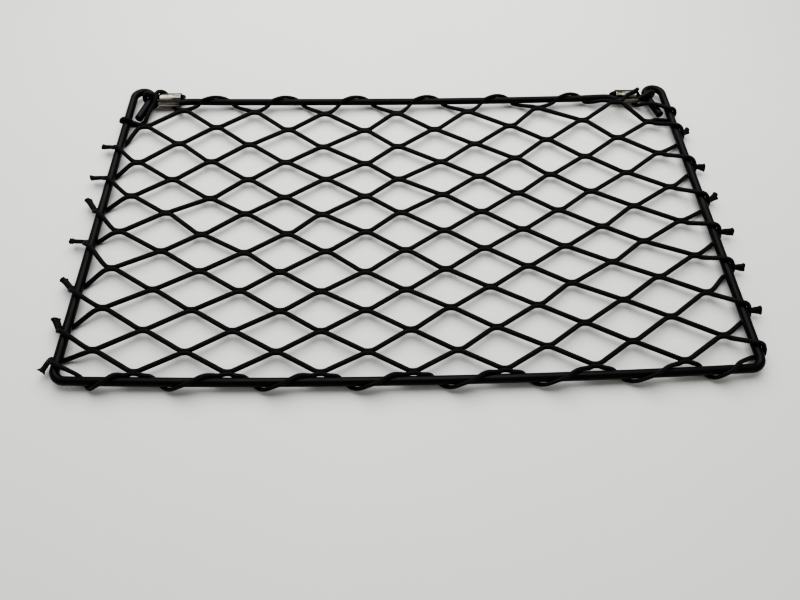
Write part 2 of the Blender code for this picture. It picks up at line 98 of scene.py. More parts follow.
@dataclass(frozen=True)
class Layout:
    """Sizes that more than one sub-assembly uses, in metres."""

    gap: float = 0.1 * MM
    rod: float = 6.0 * MM
    half_width: float = 225.0 * MM
    cord_width: float = 2.8 * MM
    cord_height: float = 3.4 * MM
    net_width: float = 3.5 * MM
    net_height: float = 3.5 * MM
    elastic: float = 5.4 * MM
    pressed: float = 3.8 * MM
    bar_bow: float = 4.2 * MM
    bar_end_y: float = 1.0 * MM
    corner_radius: float = 8.0 * MM
    eye_radius: float = 7.5 * MM
    eye_y: float = 264.5 * MM
    eye_turn: float = math.radians(195.0)
    eye_leg: float = 25.0 * MM
    elastic_y: float = 257.5 * MM
    rise_left: float = 1.5 * MM
    rise_right: float = 3.2 * MM
    rise_x: float = 180.0 * MM
    shift_y: float = 133.15 * MM

    @property
    def level(self) -> float:
        """Height of the rod's centre line above the floor."""
        return self.cord_height + self.gap + self.rod / 2

    @property
    def wrap_high(self) -> float:
        """From a rod's centre to the cord that lies over or under it."""
        return self.rod / 2 + self.gap + self.cord_height / 2

    @property
    def wrap_wide(self) -> float:
        """From a rod's centre to the cord beside it."""
        return self.rod / 2 + self.gap + self.cord_width / 2

    @property
    def bar_reach(self) -> float:
        """From the middle of the bottom bar to where its corners begin."""
        return self.half_width - self.corner_radius

    def bar_y(self, x: float) -> float:
        """The y of the bottom bar's centre line, bowed outwards by the net."""
        return self.bar_end_y - self.bar_bow * (1 - (x / self.bar_reach) ** 2)

    def edge_y(self, x: float) -> float:
        """The y of the elastic's centre line, drawn inwards by the net."""
        rise = self.rise_left if x < 0 else self.rise_right
        return self.elastic_y + rise * (x / self.rise_x) ** 2

    def eye_centre(self, side: Side) -> Vector:
        """The centre of an eye's bend."""
        return Vector((side.value * (self.half_width - self.eye_radius), self.eye_y, self.level))

    def eye_leg_line(self, side: Side) -> tuple[Vector, Vector]:
        """The straight end of an eye.

        Args:
            side: Which eye.

        Returns:
            Where the straight end starts, and its direction.
        """
        sign = side.value
        angle = math.pi - self.eye_turn
        out = Vector((-sign * math.cos(angle), math.sin(angle), 0.0))
        along = Vector((-sign * math.sin(angle), -math.cos(angle), 0.0))
        return self.eye_centre(side) + self.eye_radius * out, along


LAYOUT = Layout()


def between(start: float, end: float, share: float) -> float:
    """The value that lies the given share of the way from start to end."""
    return start + (end - start) * share


def hashed(*numbers: float) -> float:
    """A fixed irregular value from 0 to 1 for these numbers."""
    mixed = sum(number * weight for number, weight in zip(numbers, (12.9898, 78.233, 37.719)))
    return math.sin(mixed) * 43758.5453 % 1.0


# ------------------------------------------------------------------ tubes


@dataclass(frozen=True)
class Station:
    """A point on a cord's way, with the cord's half sizes and its ribs' share of their depth."""

    at: Vector
    across: float
    up: float
    ribbed: float = 0.0


@dataclass(frozen=True)
class CutEnd:
    """How far a cut end stands out past the last ring.

    The reaches and the depth are in millimetres. A frayed end's reach and splay are the
    least value and what is added unevenly.
    """

    fray_reach: tuple[float, float] = (0.35, 0.75)
    fray_splay: tuple[float, float] = (0.10, 0.22)
    fray_grain: float = 5e3
    slant_reach: float = 0.6
    slant_lean: float = 0.55
    narrowed: float = 0.32
    depth: float = 0.05


CUT_END = CutEnd()


def catmull_rom(four: Sequence[Vector], share: float) -> Vector:
    """A point on the centripetal curve between the second and third of four points.

    Args:
        four: The four points.
        share: How far along the middle span, from 0 to 1.

    Returns:
        The point.
    """
    knots = [0.0]
    for first, second in zip(four, four[1:]):
        knots.append(knots[-1] + max((second - first).length, 1e-6) ** 0.5)
    at = between(knots[1], knots[2], share)

    def mixed(first: Vector, second: Vector, low: int, high: int) -> Vector:
        """Two points in the proportion in which the place lies between two knots."""
        return first.lerp(second, (at - knots[low]) / (knots[high] - knots[low]))

    sides = [mixed(four[i], four[i + 1], i, i + 1) for i in range(3)]
    inner = [mixed(sides[i], sides[i + 1], i, i + 2) for i in range(2)]
    return mixed(inner[0], inner[1], 1, 2)


def grown_rim(
    shape: bmesh.types.BMesh, rim: Sequence[bmesh.types.BMEdge]
) -> tuple[list[bmesh.types.BMEdge], set[bmesh.types.BMVert]]:
    """Extrude an open rim.

    Args:
        shape: The mesh.
        rim: The rim's edges.

    Returns:
        The new rim's edges, and its points.
    """
    made = bmesh.ops.extrude_edge_only(shape, edges=rim)["geom"]
    edges = [item for item in made if isinstance(item, bmesh.types.BMEdge) and item.is_boundary]
    return edges, {vert for edge in edges for vert in edge.verts}


@dataclass
class Tube:
    """A cord or rod that is swept through stations."""

    stations: list[Station]
    sides: int
    step: float
    start: End = End.FLAT
    end: End = End.FLAT
    slant: float = 1.0
    rib_depth: float = 0.0
    rib_lean: float = 1.1
    level_hold: float = 1.5
    rim_reach: float = 1.6

    def sampled(self) -> list[Station]:
        """The stations on a smooth curve, close enough together for the ribs.

        Returns:
            The stations of the mesh's rings.
        """
        nodes = self.stations
        first = nodes[0].at * 2 - nodes[1].at
        last = nodes[-1].at * 2 - nodes[-2].at
        points = [first] + [node.at for node in nodes] + [last]
        made = []
        for index, (here, after) in enumerate(zip(nodes, nodes[1:])):
            count = max(1, round((after.at - here.at).length / self.step))
            for part in range(count):
                share = part / count
                sizes = (
                    between(getattr(here, name), getattr(after, name), share)
                    for name in ("across", "up", "ribbed")
                )
                made.append(Station(catmull_rom(points[index : index + 4], share), *sizes))
        made.append(nodes[-1])
        return made

    def frames(self, path: Sequence[Station]) -> list[Frame]:
        """The directions across, up and along at each station, without sudden turns.

        Args:
            path: The sampled stations.

        Returns:
            Three unit vectors for each station.
        """
        made = []
        across = Vector((0.0, 0.0, 0.0))
        for index, _ in enumerate(path):
            ahead = path[min(index + 1, len(path) - 1)].at
            behind = path[max(index - 1, 0)].at
            along = (ahead - behind).normalized()
            level = along.cross(Vector((0.0, 0.0, 1.0)))
            weight = min(1.0, level.length * self.level_hold) ** 2
            if across.length and level.dot(across) < 0:
                level = -level
            across = level.normalized() * weight + across * (1.0 - weight)
            across = (across - along * across.dot(along)).normalized()
            made.append((across, across.cross(along), along))
        return made

    def build(self) -> bmesh.types.BMesh:
        """Sweep the tube: a grid is wrapped round the way, joined at its seam and closed.

        Returns:
            The closed mesh, with its length and its turn as UV.
        """
        path = self.sampled()
        frames = self.frames(path)
        rows = len(path) - 1
        shape = bmesh.new()
        uv = shape.loops.layers.uv.new(CORD_UV)
        bmesh.ops.create_grid(
            shape, x_segments=rows, y_segments=self.sides, size=0.5, calc_uvs=False
        )
        lengths = [0.0]
        for before, after in zip(path, path[1:]):
            lengths.append(lengths[-1] + (after.at - before.at).length)
        for face in shape.faces:
            for loop in face.loops:
                flat = loop.vert.co
                loop[uv].uv = (lengths[round((flat.x + 0.5) * rows)], flat.y + 0.5)
        for vert in shape.verts:
            row = round((vert.co.x + 0.5) * rows)
            turn = math.tau * (vert.co.y + 0.5)
            vert.co = self.skin_point(path[row], frames[row], turn, row % 2)
        bmesh.ops.remove_doubles(shape, verts=shape.verts, dist=WELD)
        self.close(shape, path, frames)
        bmesh.ops.recalc_face_normals(shape, faces=shape.faces)
        return shape

    def skin_point(self, station: Station, frame: Frame, turn: float, odd: int) -> Vector:
        """A point of the skin.

        Args:
            station: The station that the point belongs to.
            frame: The directions there.
            turn: The angle round the cord.
            odd: 1 on every second ring, which lies between two ribs.

        Returns:
            The point.
        """
        across, up, _ = frame
        wave = math.cos(math.pi * odd + self.slant * self.rib_lean * math.cos(turn))
        swell = 1.0 + self.rib_depth * station.ribbed * wave
        return (
            station.at
            + across * (station.across * swell * math.cos(turn))
            + up * (station.up * swell * math.sin(turn))
        )

    def close(
        self, shape: bmesh.types.BMesh, path: Sequence[Station], frames: Sequence[Frame]
    ) -> None:
        """Close both ends.

        Args:
            shape: The open tube.
            path: Its stations.
            frames: The directions at the stations.
        """
        for index, kind, sign in ((0, self.start, -1.0), (-1, self.end, 1.0)):
            middle = path[index].at
            near = max(path[index].across, path[index].up) * self.rim_reach
            rim = [edge for edge in shape.edges if edge.is_boundary]
            rim = [edge for edge in rim if (edge.verts[0].co - middle).length < near]
            if kind is not End.FLAT:
                across, _, along = frames[index]
                along = along * sign
                rim, verts = grown_rim(shape, rim)
                for vert in verts:
                    vert.co += self.cut(kind, vert.co, vert.co - middle, across * sign, along)
                rim, verts = grown_rim(shape, rim)
                for vert in verts:
                    inwards = vert.co.lerp(middle, CUT_END.narrowed)
                    vert.co = inwards + along * CUT_END.depth * MM
            bmesh.ops.holes_fill(shape, edges=rim, sides=0)

    @staticmethod
    def cut(kind: End, at: Vector, out: Vector, across: Vector, along: Vector) -> Vector:
        """How far a point of a cut end stands out past the last ring.

        Args:
            kind: The end.
            at: The point of the last ring.
            out: The same point from the cord's middle.
            across: The direction across the cord, turned round at its start.
            along: The direction out of the cord.

        Returns:
            The way from the last ring.
        """
        if kind is End.FRAYED:
            grain = CUT_END.fray_grain
            uneven = hashed(at.x * grain, at.y * grain, at.z * grain)
            reach, splay = (
                low + more * uneven for low, more in (CUT_END.fray_reach, CUT_END.fray_splay)
            )
            return along * reach * MM + out * splay
        return along * (CUT_END.slant_reach * MM + out.dot(across) * CUT_END.slant_lean)


def placed(name: str, data: bpy.types.ID) -> bpy.types.Object:
    """A new object of the scene.

    Args:
        name: Its name.
        data: Its mesh, camera or light.

    Returns:
        The object.
    """
    made = bpy.data.objects.new(name, data)
    bpy.context.scene.collection.objects.link(made)
    return made


def finished(
    name: str,
    shapes: Sequence[bmesh.types.BMesh],
    finish: bpy.types.Material,
    slot: str,
    *nodes: str,
) -> bpy.types.Object:
    """One piece of several meshes, in its place, with its finish, its body and its nodes.

    Args:
        name: The piece's name.
        shapes: Its parts in the frame's own y, which are freed.
        finish: Its material.
        slot: Not used.
        *nodes: The CAD nodes that it stands for.

    Returns:
        The piece, smooth but for its sharp edges.
    """
    whole = bmesh.new()
    whole.loops.layers.uv.new(CORD_UV)
    carrier = bpy.data.meshes.new(name)
    for shape in shapes:
        shape.to_mesh(carrier)
        shape.free()
        whole.from_mesh(carrier)
    whole.to_mesh(carrier)
    whole.free()
    carrier.shade_smooth()
    carrier.set_sharp_from_angle(angle=SHARP_FROM)
    carrier.transform(Matrix.Translation((0.0, -LAYOUT.shift_y, 0.0)))
    carrier.materials.append(finish)
    made = placed(name, carrier)
    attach(made, "root")
    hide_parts(*nodes)
    LOG.info("%s: %d faces", name, len(carrier.polygons))
    return made


# ------------------------------------------------------------------ rod frame


@dataclass
class RodFrame:
    """The rod: two eyes, two side bars and the bottom bar, bent from one length."""

    layout: Layout
    sides: int = 28
    corner_steps: int = 9
    eye_steps: int = 26
    bar_steps: int = 36
    side_steps: int = 20
    leg_shares: tuple[float, ...] = (0.3, 0.6, 0.9)
    chamfer: float = 0.5 * MM

    def half(self, side: Side) -> list[Vector]:
        """The rod from the bottom corner up a side bar and round its eye.

        Args:
            side: Which half.

        Returns:
            The points of its centre line.
        """
        layout = self.layout
        corner_y = layout.bar_end_y + layout.corner_radius
        corner = Vector((side.value * layout.bar_reach, corner_y, layout.level))
        points = []
        for step in range(self.corner_steps + 1):
            angle = math.pi / 2 * (step / self.corner_steps - 1)
            points.append(corner + layout.corner_radius * side.outward(angle))
        for step in range(1, self.side_steps):
            y = between(corner_y, layout.eye_y, step / self.side_steps)
            points.append(Vector((side.value * layout.half_width, y, layout.level)))
        for step in range(self.eye_steps + 1):
            angle = layout.eye_turn * step / self.eye_steps
            points.append(layout.eye_centre(side) + layout.eye_radius * side.outward(angle))
        start, along = layout.eye_leg_line(side)
        for share in self.leg_shares:
            points.append(start + along * layout.eye_leg * share)
        points.append(start + along * (layout.eye_leg - self.chamfer))
        return points

    def stations(self) -> list[Station]:
        """The rod's way from the left eye to the right one.

        Returns:
            The stations, with both cut ends chamfered.
        """
        layout = self.layout
        bar = []
        for step in range(1, self.bar_steps):
            x = between(-layout.bar_reach, layout.bar_reach, step / self.bar_steps)
            bar.append(Vector((x, layout.bar_y(x), layout.level)))
        points = self.half(Side.LEFT)[::-1] + bar + self.half(Side.RIGHT)
        radius = layout.rod / 2
        tips = []
        for side in Side:
            start, along = layout.eye_leg_line(side)
            tip = start + along * layout.eye_leg
            tips.append(Station(tip, radius - self.chamfer, radius - self.chamfer))
        return [tips[0], *(Station(point, radius, radius) for point in points), tips[1]]

    def build(self, finish: bpy.types.Material) -> bpy.types.Object:
        """Bend the rod and coat it with a finish."""
        tube = Tube(self.stations(), self.sides, step=1.0)
        return finished("rod_frame", [tube.build()], finish, "black_rod", "frame_rod")


# ------------------------------------------------------------------ elastic edge


@dataclass(frozen=True)
class FerruleSizes:
    """The crimped ferrules."""

    sheet: float = 0.8 * MM
    lobe: float = 4.1 * MM
    play: float = 0.2 * MM
    length: float = 17.6 * MM
    lift: float = 0.4 * MM
    left: tuple[float, float] = (-194.2 * MM, 261.3 * MM)
    right: tuple[float, float] = (192.8 * MM, 261.8 * MM)

    def middle(self, side: Side, level: float) -> Vector:
        """The middle of a ferrule, for a height of the rod's centre line."""
        x, y = self.right if side is Side.RIGHT else self.left
        return Vector((x, y, level + self.lift))


@dataclass
class ElasticEdge:
    """The elastic cord along the open edge, looped round the legs of both eyes."""

    layout: Layout
    ferrule: FerruleSizes
    squeezed: float = 3.0 * MM
    tight: float = 4.6 * MM
    loose: float = 1.12
    flared: float = 1.15
    swollen: float = 1.08
    loop_from: float = math.radians(48.0)
    loop_steps: int = 9
    loop_slack: float = 0.15 * MM
    loop_slope: float = 1.6 * MM
    stub: float = 2.3 * MM
    stub_turn: float = 1.2 * MM
    stub_begun: float = 0.3
    run_rise: float = 0.3 * MM
    drawn: float = 0.6 * MM
    mouth: float = 0.9 * MM
    bend: float = 4.5 * MM
    steps: int = 12
    sides: int = 20
    step: float = 1.6 * MM

    def loop(self, side: Side) -> list[Station]:
        """The elastic from its cut end, through the ferrule, round the leg and back.

        Args:
            side: Which end.

        Returns:
            The stations, the last one where the long run leaves the ferrule.
        """
        layout = self.layout
        sign = side.value
        middle = self.ferrule.middle(side, layout.level)
        inner = middle.x - sign * self.ferrule.length / 2
        outer = middle.x + sign * (self.ferrule.length / 2 + self.mouth)
        upper = middle.y + self.ferrule.lobe
        lower = middle.y - self.ferrule.lobe
        start, along = layout.eye_leg_line(side)
        across = Vector((-sign * along.y, sign * along.x, 0.0))
        pressed = layout.pressed / 2
        free = pressed * self.loose

        def straight(x: float, y: float, radius: float = pressed) -> Station:
            """A station inside or beside the ferrule."""
            return Station(Vector((x, y, middle.z)), radius, radius)

        stations = [
            straight(inner - sign * self.stub, upper - self.stub_turn, free),
            straight(inner - sign * self.mouth, upper - self.stub_begun * self.stub_turn, free),
            straight(inner, upper),
            straight(middle.x, upper),
            straight(outer - sign * self.mouth, upper, free),
            straight(outer, upper - self.drawn, free * self.flared),
        ]
        for step in range(self.loop_steps + 1):
            share = step / self.loop_steps
            turn = between(self.loop_from, math.tau - self.loop_from, share)
            lifted = -sign * math.sin(turn)
            thick = between(self.squeezed, self.tight, (1 + lifted) / 2)
            reach = layout.rod / 2 + layout.gap + self.loop_slack + thick / 2
            y = between(upper - self.loop_slope, lower + self.loop_slope, share)
            leg = start + along * ((start.y - y) / -along.y)
            at = leg - across * reach * math.cos(turn)
            at.z = layout.level + reach * lifted
            stations.append(Station(at, thick / 2, thick / 2))
        stations += [
            straight(outer, lower + self.drawn, free * self.flared),
            straight(outer - sign * self.mouth, lower, free),
            straight(middle.x, lower),
            straight(inner, lower),
            straight(inner - sign * self.mouth, lower + self.run_rise, free * self.swollen),
        ]
        return stations

    def stations(self) -> list[Station]:
        """The whole elastic.

        Returns:
            The stations from one cut end to the other.
        """
        layout = self.layout
        left = self.loop(Side.LEFT)
        right = self.loop(Side.RIGHT)
        start = left[-1].at.x + self.bend
        end = right[-1].at.x - self.bend
        radius = layout.elastic / 2
        run = []
        for step in range(self.steps + 1):
            x = between(start, end, step / self.steps)
            run.append(Station(Vector((x, layout.edge_y(x), layout.level)), radius, radius))
        return left + run + right[::-1]

    def build(self, finish: bpy.types.Material) -> bpy.types.Object:
        """Lay the elastic in its woven sleeve."""
        tube = Tube(self.stations(), self.sides, self.step, End.SLANTED, End.SLANTED)
        return finished("elastic_edge", [tube.build()], finish, "elastic_cord", "edge_cord")


@dataclass
class Ferrule:
    """A strip of sheet rolled round both runs of the elastic and pressed.

    The roll is half of the seam between the two lobes, in millimetres across and up. Places
    along the ferrule are shares of its half length.
    """

    layout: Layout
    sizes: FerruleSizes
    side: Side
    lobe_steps: int = 18
    lengths: int = 22
    wall: float = 0.94
    rounding: float = 0.18 * MM
    rounded_from: float = math.radians(50.0)
    press: float = 0.15 * MM
    press_top: float = 0.55
    press_places: tuple[float, float] = (-0.36, 0.36)
    press_width: float = 0.17
    uneven: float = 0.10 * MM
    top_from: float = 1.2 * MM
    crown: float = 2.4 * MM
    bell: float = 0.22 * MM
    bell_from: float = 0.78
    bell_width: float = 0.22
    seam: float = -2.4 * MM
    open_from: int = 12
    roll: tuple[tuple[float, float], ...] = (
        (1.35, -0.35),
        (0.92, -0.75),
        (0.66, -0.25),
        (0.78, 0.55),
        (1.30, 1.30),
        (2.05, 1.95),
        (2.95, 2.38),
        (3.90, 2.63),
    )

    def outline(self) -> list[Vector]:
        """The sheet's centre line across both cords.

        Returns:
            The points from one rolled edge to the other.
        """
        sizes = self.sizes
        radius = self.layout.pressed / 2 + sizes.play + sizes.sheet / 2
        half = [Vector((0.0, across * MM, up * MM)) for across, up in self.roll]
        for step in range(self.lobe_steps + 1):
            angle = math.pi * (0.5 - step / self.lobe_steps)
            y = sizes.lobe + radius * math.cos(angle)
            half.append(Vector((0.0, y, radius * math.sin(angle))))
        other = [Vector((0.0, -point.y, point.z)) for point in reversed(half[self.open_from :])]
        for point in half:
            if point.z > -MM:
                point.y += self.seam * max(0.0, 1 - point.y / sizes.lobe)
        return half + other

    def build(self, finish: bpy.types.Material) -> None:
        """Roll the strip, press it and give it its thickness.

        Args:
            finish: The metal.
        """
        sizes = self.sizes
        label = self.side.name.lower()
        shape = bmesh.new()
        start = Vector((-sizes.length / 2, 0.0, 0.0))
        shift = Vector((sizes.length / self.lengths, 0.0, 0.0))
        row = [shape.verts.new(point + start) for point in self.outline()]
        edges = [shape.edges.new(pair) for pair in zip(row, row[1:])]
        for _ in range(self.lengths):
            grown = bmesh.ops.extrude_edge_only(shape, edges=edges)["geom"]
            moved = {item for item in grown if isinstance(item, bmesh.types.BMVert)}
            bmesh.ops.translate(shape, verts=list(moved), vec=shift)
            edges = [edge for edge in shape.edges if set(edge.verts) <= moved]
        for vert in shape.verts:
            vert.co = self.pressed(vert.co)
        bmesh.ops.recalc_face_normals(shape, faces=shape.faces)
        place = Matrix.Translation(sizes.middle(self.side, self.layout.level))
        bmesh.ops.transform(shape, matrix=place, verts=shape.verts)
        name = f"ferrule_crimped_{label}"
        made = finished(name, [shape], finish, "ferrule_metal", f"ferrule_{label}")
        wall = made.modifiers.new("sheet", "SOLIDIFY")
        wall.thickness = sizes.sheet * self.wall
        wall.offset = 0.0
        wall.use_even_offset = True
        edge = made.modifiers.new("edges", "BEVEL")
        edge.width = self.rounding
        edge.segments = 2
        edge.limit_method = "ANGLE"
        edge.angle_limit = self.rounded_from

    def pressed(self, point: Vector) -> Vector:
        """Where the press puts a point of the sheet.

        Args:
            point: The point of the plain strip, from the ferrule's middle.

        Returns:
            The point, dented between the ends of the ferrule and belled at them.
        """
        along = 2 * point.x / self.sizes.length
        bell = self.bell * max(0.0, abs(along) - self.bell_from) / self.bell_width
        dent = 0.0
        for place in self.press_places:
            dent += self.press * math.exp(-(((along - place) / self.press_width) ** 2))
        if point.z > self.top_from:
            crown = min(1.0, point.z / self.crown)
            uneven = self.uneven * (hashed(round(point.x, 4), self.side.value) - 0.5)
            point.z -= dent * crown * self.press_top + uneven
        out = Vector((0.0, point.y, point.z)).normalized()
        return point + out * bell


# ------------------------------------------------------------------ netting


@dataclass(frozen=True)
class Knot:
    """Where two cords meet outside a side bar, in millimetres.

    The knot's place along the bar, where the cord over the bar reaches its inner side, the
    cut end's reach outwards and upwards with its width, and where the cord under the bar
    reaches its inner side, unless it runs straight to the knot.
    """

    at: float
    over: float
    tail_out: float
    tail_up: float
    tail_width: float
    under: float = 0.0


LEFT_KNOTS = (
    Knot(206.0, 200.2, 7.6, 1.2, 4.0),
    Knot(173.0, 167.0, 9.2, 0.6, 4.0),
    Knot(140.5, 132.7, 7.0, 9.8, 3.0),
    Knot(110.8, 102.2, 9.7, 1.4, 4.0),
    Knot(70.5, 63.6, 6.7, 7.2, 3.0),
    Knot(38.5, 33.1, 4.2, 7.4, 3.0),
    Knot(16.0, 10.5, 3.2, -7.0, 3.6),
)
RIGHT_KNOTS = (
    Knot(215.5, 228.0, 4.9, 4.2, 3.2, 202.5),
    Knot(178.5, 190.8, 6.6, -0.3, 4.2, 170.5),
    Knot(142.5, 152.2, 6.7, 5.1, 3.0, 132.6),
    Knot(112.5, 121.0, 9.0, 0.6, 3.6, 100.6),
    Knot(80.5, 90.0, 6.8, 0.3, 3.6, 73.7),
    Knot(44.3, 53.0, 7.2, 0.8, 3.6, 33.9),
    Knot(13.6, 21.8, 0.0, 0.0, 0.0, 10.5),
)
# The cord's way from the net to each top corner, in millimetres: across, along the side bar,
# and up from the rod's centre line.
LEFT_CORNER = (
    (-184.8, 250.9, -2.4),
    (-187.6, 253.0, -4.6),
    (-191.0, 257.0, -4.7),
    (-194.6, 262.0, -4.7),
    (-196.6, 266.4, -4.7),
    (-197.6, 269.2, -3.4),
    (-198.8, 270.2, -1.2),
    (-200.2, 269.8, 1.4),
    (-201.8, 268.4, 3.6),
    (-203.4, 266.6, 4.9),
    (-204.6, 264.4, 5.3),
    (-205.0, 261.6, 4.8),
    (-205.2, 258.4, 3.6),
    (-206.2, 254.8, 1.8),
    (-208.2, 251.2, 0.6),
    (-209.8, 246.5, -0.4),
    (-211.0, 242.2, -1.8),
    (-212.8, 238.9, -3.8),
    (-216.2, 237.7, -4.9),
    (-220.8, 237.4, -4.9),
)
RIGHT_CORNER = (
    (190.4, 256.6, 5.3),
    (196.0, 260.6, 5.2),
    (200.4, 264.0, 5.2),
    (202.4, 266.3, 4.2),
    (203.5, 268.6, 2.0),
    (203.4, 269.6, -0.8),
    (202.6, 269.0, -3.3),
    (201.8, 266.4, -4.7),
    (200.4, 261.4, -4.7),
    (201.0, 257.2, -4.5),
    (202.8, 254.2, -2.8),
    (205.2, 251.6, 0.4),
    (208.2, 248.8, 3.6),
    (212.0, 246.4, 5.2),
    (216.0, 244.4, 5.2),
    (220.2, 242.8, 4.9),
)


@dataclass(frozen=True)
class BarTurn:
    """How the corner cord goes round a side bar, in millimetres along the bar."""

    first: Lace
    out_from: float
    out_to: float
    farthest: tuple[float, float]
    back_to: float
    back_from: float


LEFT_TURN = BarTurn(Lace.UNDER, 237.6, 237.2, (-229.6, 235.4), 233.6, 234.3)
RIGHT_TURN = BarTurn(Lace.OVER, 242.4, 240.2, (229.6, 240.4), 233.0, 240.2)
# A turn round the elastic: along it in millimetres, and how far round in degrees, where 0 is
# the side next to the net and 90 is on top.
TOP_TURN = (
    (-14.1, 4.0),
    (-12.6, 32.0),
    (-10.8, 58.0),
    (-7.3, 82.0),
    (-3.7, 106.0),
    (0.0, 130.0),
    (3.7, 153.0),
    (7.3, 177.0),
    (10.0, 202.0),
    (12.2, 236.0),
    (14.3, 268.0),
)
# A turn round the bottom bar: the share of its way, and how far round in degrees, from the
# bar's inner side and below it.
BOTTOM_TURN = (
    (0.12, 12.0),
    (0.175, 45.0),
    (0.235, 80.0),
    (0.29, 112.0),
    (0.345, 140.0),
    (0.40, 163.0),
    (0.455, 184.0),
    (0.515, 204.0),
    (0.585, 221.0),
    (0.66, 240.0),
    (0.725, 264.0),
    (0.79, 290.0),
    (0.85, 312.0),
)
# How far the net's joints were drawn aside, in millimetres: across, then along the side bars,
# from the lowest row upwards and from left to right.
DRAWN_ACROSS = (
    (2.1, 1.9, 1.5, 1.4, 1.1, 0.7, 0.5),
    (2.1, 2.2, 1.9, 2.2, 1.6, 1.2, -0.8, 1.3),
    (1.9, 1.5, 0.7, 1.0, -0.6, -0.4, -0.3),
    (1.3, 1.6, 2.2, 0.8, -0.8, -0.3, 0.1, 0.1),
    (2.2, 2.5, -0.4, -1.0, -1.6, -3.2, 0.1),
    (0.3, 2.5, -0.4, 0.2, -1.9, -2.2, -0.7, 1.0),
    (2.0, 2.2, 1.4, -0.2, -2.0, -2.3, -3.0),
    (-1.2, -0.7, 2.3, 0.6, -0.7, -1.6, -1.5, -0.5),
    (-0.1, -0.3, -2.2, -2.4, -1.1, -1.8, -2.7),
    (0.8, 0.9, -1.8, 0.1, 0.0, -1.1, -3.2, 0.0),
    (-0.9, -1.6, -0.7, -3.4, 0.1, -2.4, -1.0),
    (-0.9, -2.9, -3.4, 0.0, 0.7, 1.3, -1.0, 0.4),
    (-1.6, -4.2, -4.1, -3.0, 0.2, 0.2, 0.2),
    (-2.8, -3.4, -3.8, -0.5, -2.0, 1.6, 3.8, 1.0),
    (-3.5, -3.7, -4.2, -3.3, -2.4, -1.5, 0.0),
)
DRAWN_ALONG = (
    (-0.8, -0.4, -0.4, -0.5, -0.4, -0.5, -1.6),
    (0.1, -0.1, 0.3, -0.1, 0.0, 0.6, 0.6, 0.0),
    (-0.2, -0.2, -0.3, 0.1, 0.4, 0.8, 1.4),
    (-0.7, -1.2, -1.6, -1.1, 0.1, -0.3, 0.3, 1.4),
    (-1.0, -1.2, -1.5, -0.7, 0.1, 0.5, 1.4),
    (0.2, -0.8, -1.0, -1.1, 0.3, 0.7, 0.8, 1.4),
    (-1.9, -2.3, -1.0, -0.3, -0.1, -1.0, -0.7),
    (-1.9, -3.0, -1.9, -0.2, 0.2, -0.7, -1.5, -1.5),
    (-2.4, -2.2, -2.5, -1.1, -1.7, -3.0, -3.0),
    (-1.9, -2.6, -0.7, 0.3, 1.0, 0.5, -1.0, -1.5),
    (-2.2, -1.1, -0.4, -0.6, 0.9, 0.3, -1.9),
    (-2.1, 0.3, 0.4, -1.0, 0.1, 2.3, 0.9, -0.2),
    (0.4, 0.5, -1.7, -1.6, 0.0, 2.3, 0.8),
    (0.3, 0.6, -1.4, -2.2, -1.6, 0.6, 4.2, -2.0),
    (0.1, -0.8, -2.3, -2.1, -1.1, 0.8, 0.0),
)
# The last run beside the elastic: along it, inwards from it, and up, in millimetres.
LAST_RUN = ((164.0, 4.4, -0.2), (170.0, 6.2, 2.4))


@dataclass(frozen=True)
class TailSizes:
    """The cut ends outside the side bars: two cords in one knot.

    Each row of ways has, for a station, the share of the cords' distance apart, of their
    height and of their width.
    """

    root_left: float = 3.0 * MM
    root_right: float = 3.8 * MM
    cord: float = 3.3 * MM
    droop: float = 0.6 * MM
    least_apart: float = 0.45 * MM
    stacked: float = 0.95 * MM
    splayed: float = 1.25
    middle: float = 0.72
    ways: tuple[Point, ...] = (
        (0.7, 0.80, 1.0),
        (0.9, 0.76, 1.0),
        (0.25, 0.80, 1.0),
        (0.0, 0.90, 1.1),
    )


@dataclass(frozen=True)
class Crossing:
    """A cord at a joint: the joint's column and row, and whether it is the upper cord."""

    column: int
    row: int
    up: bool


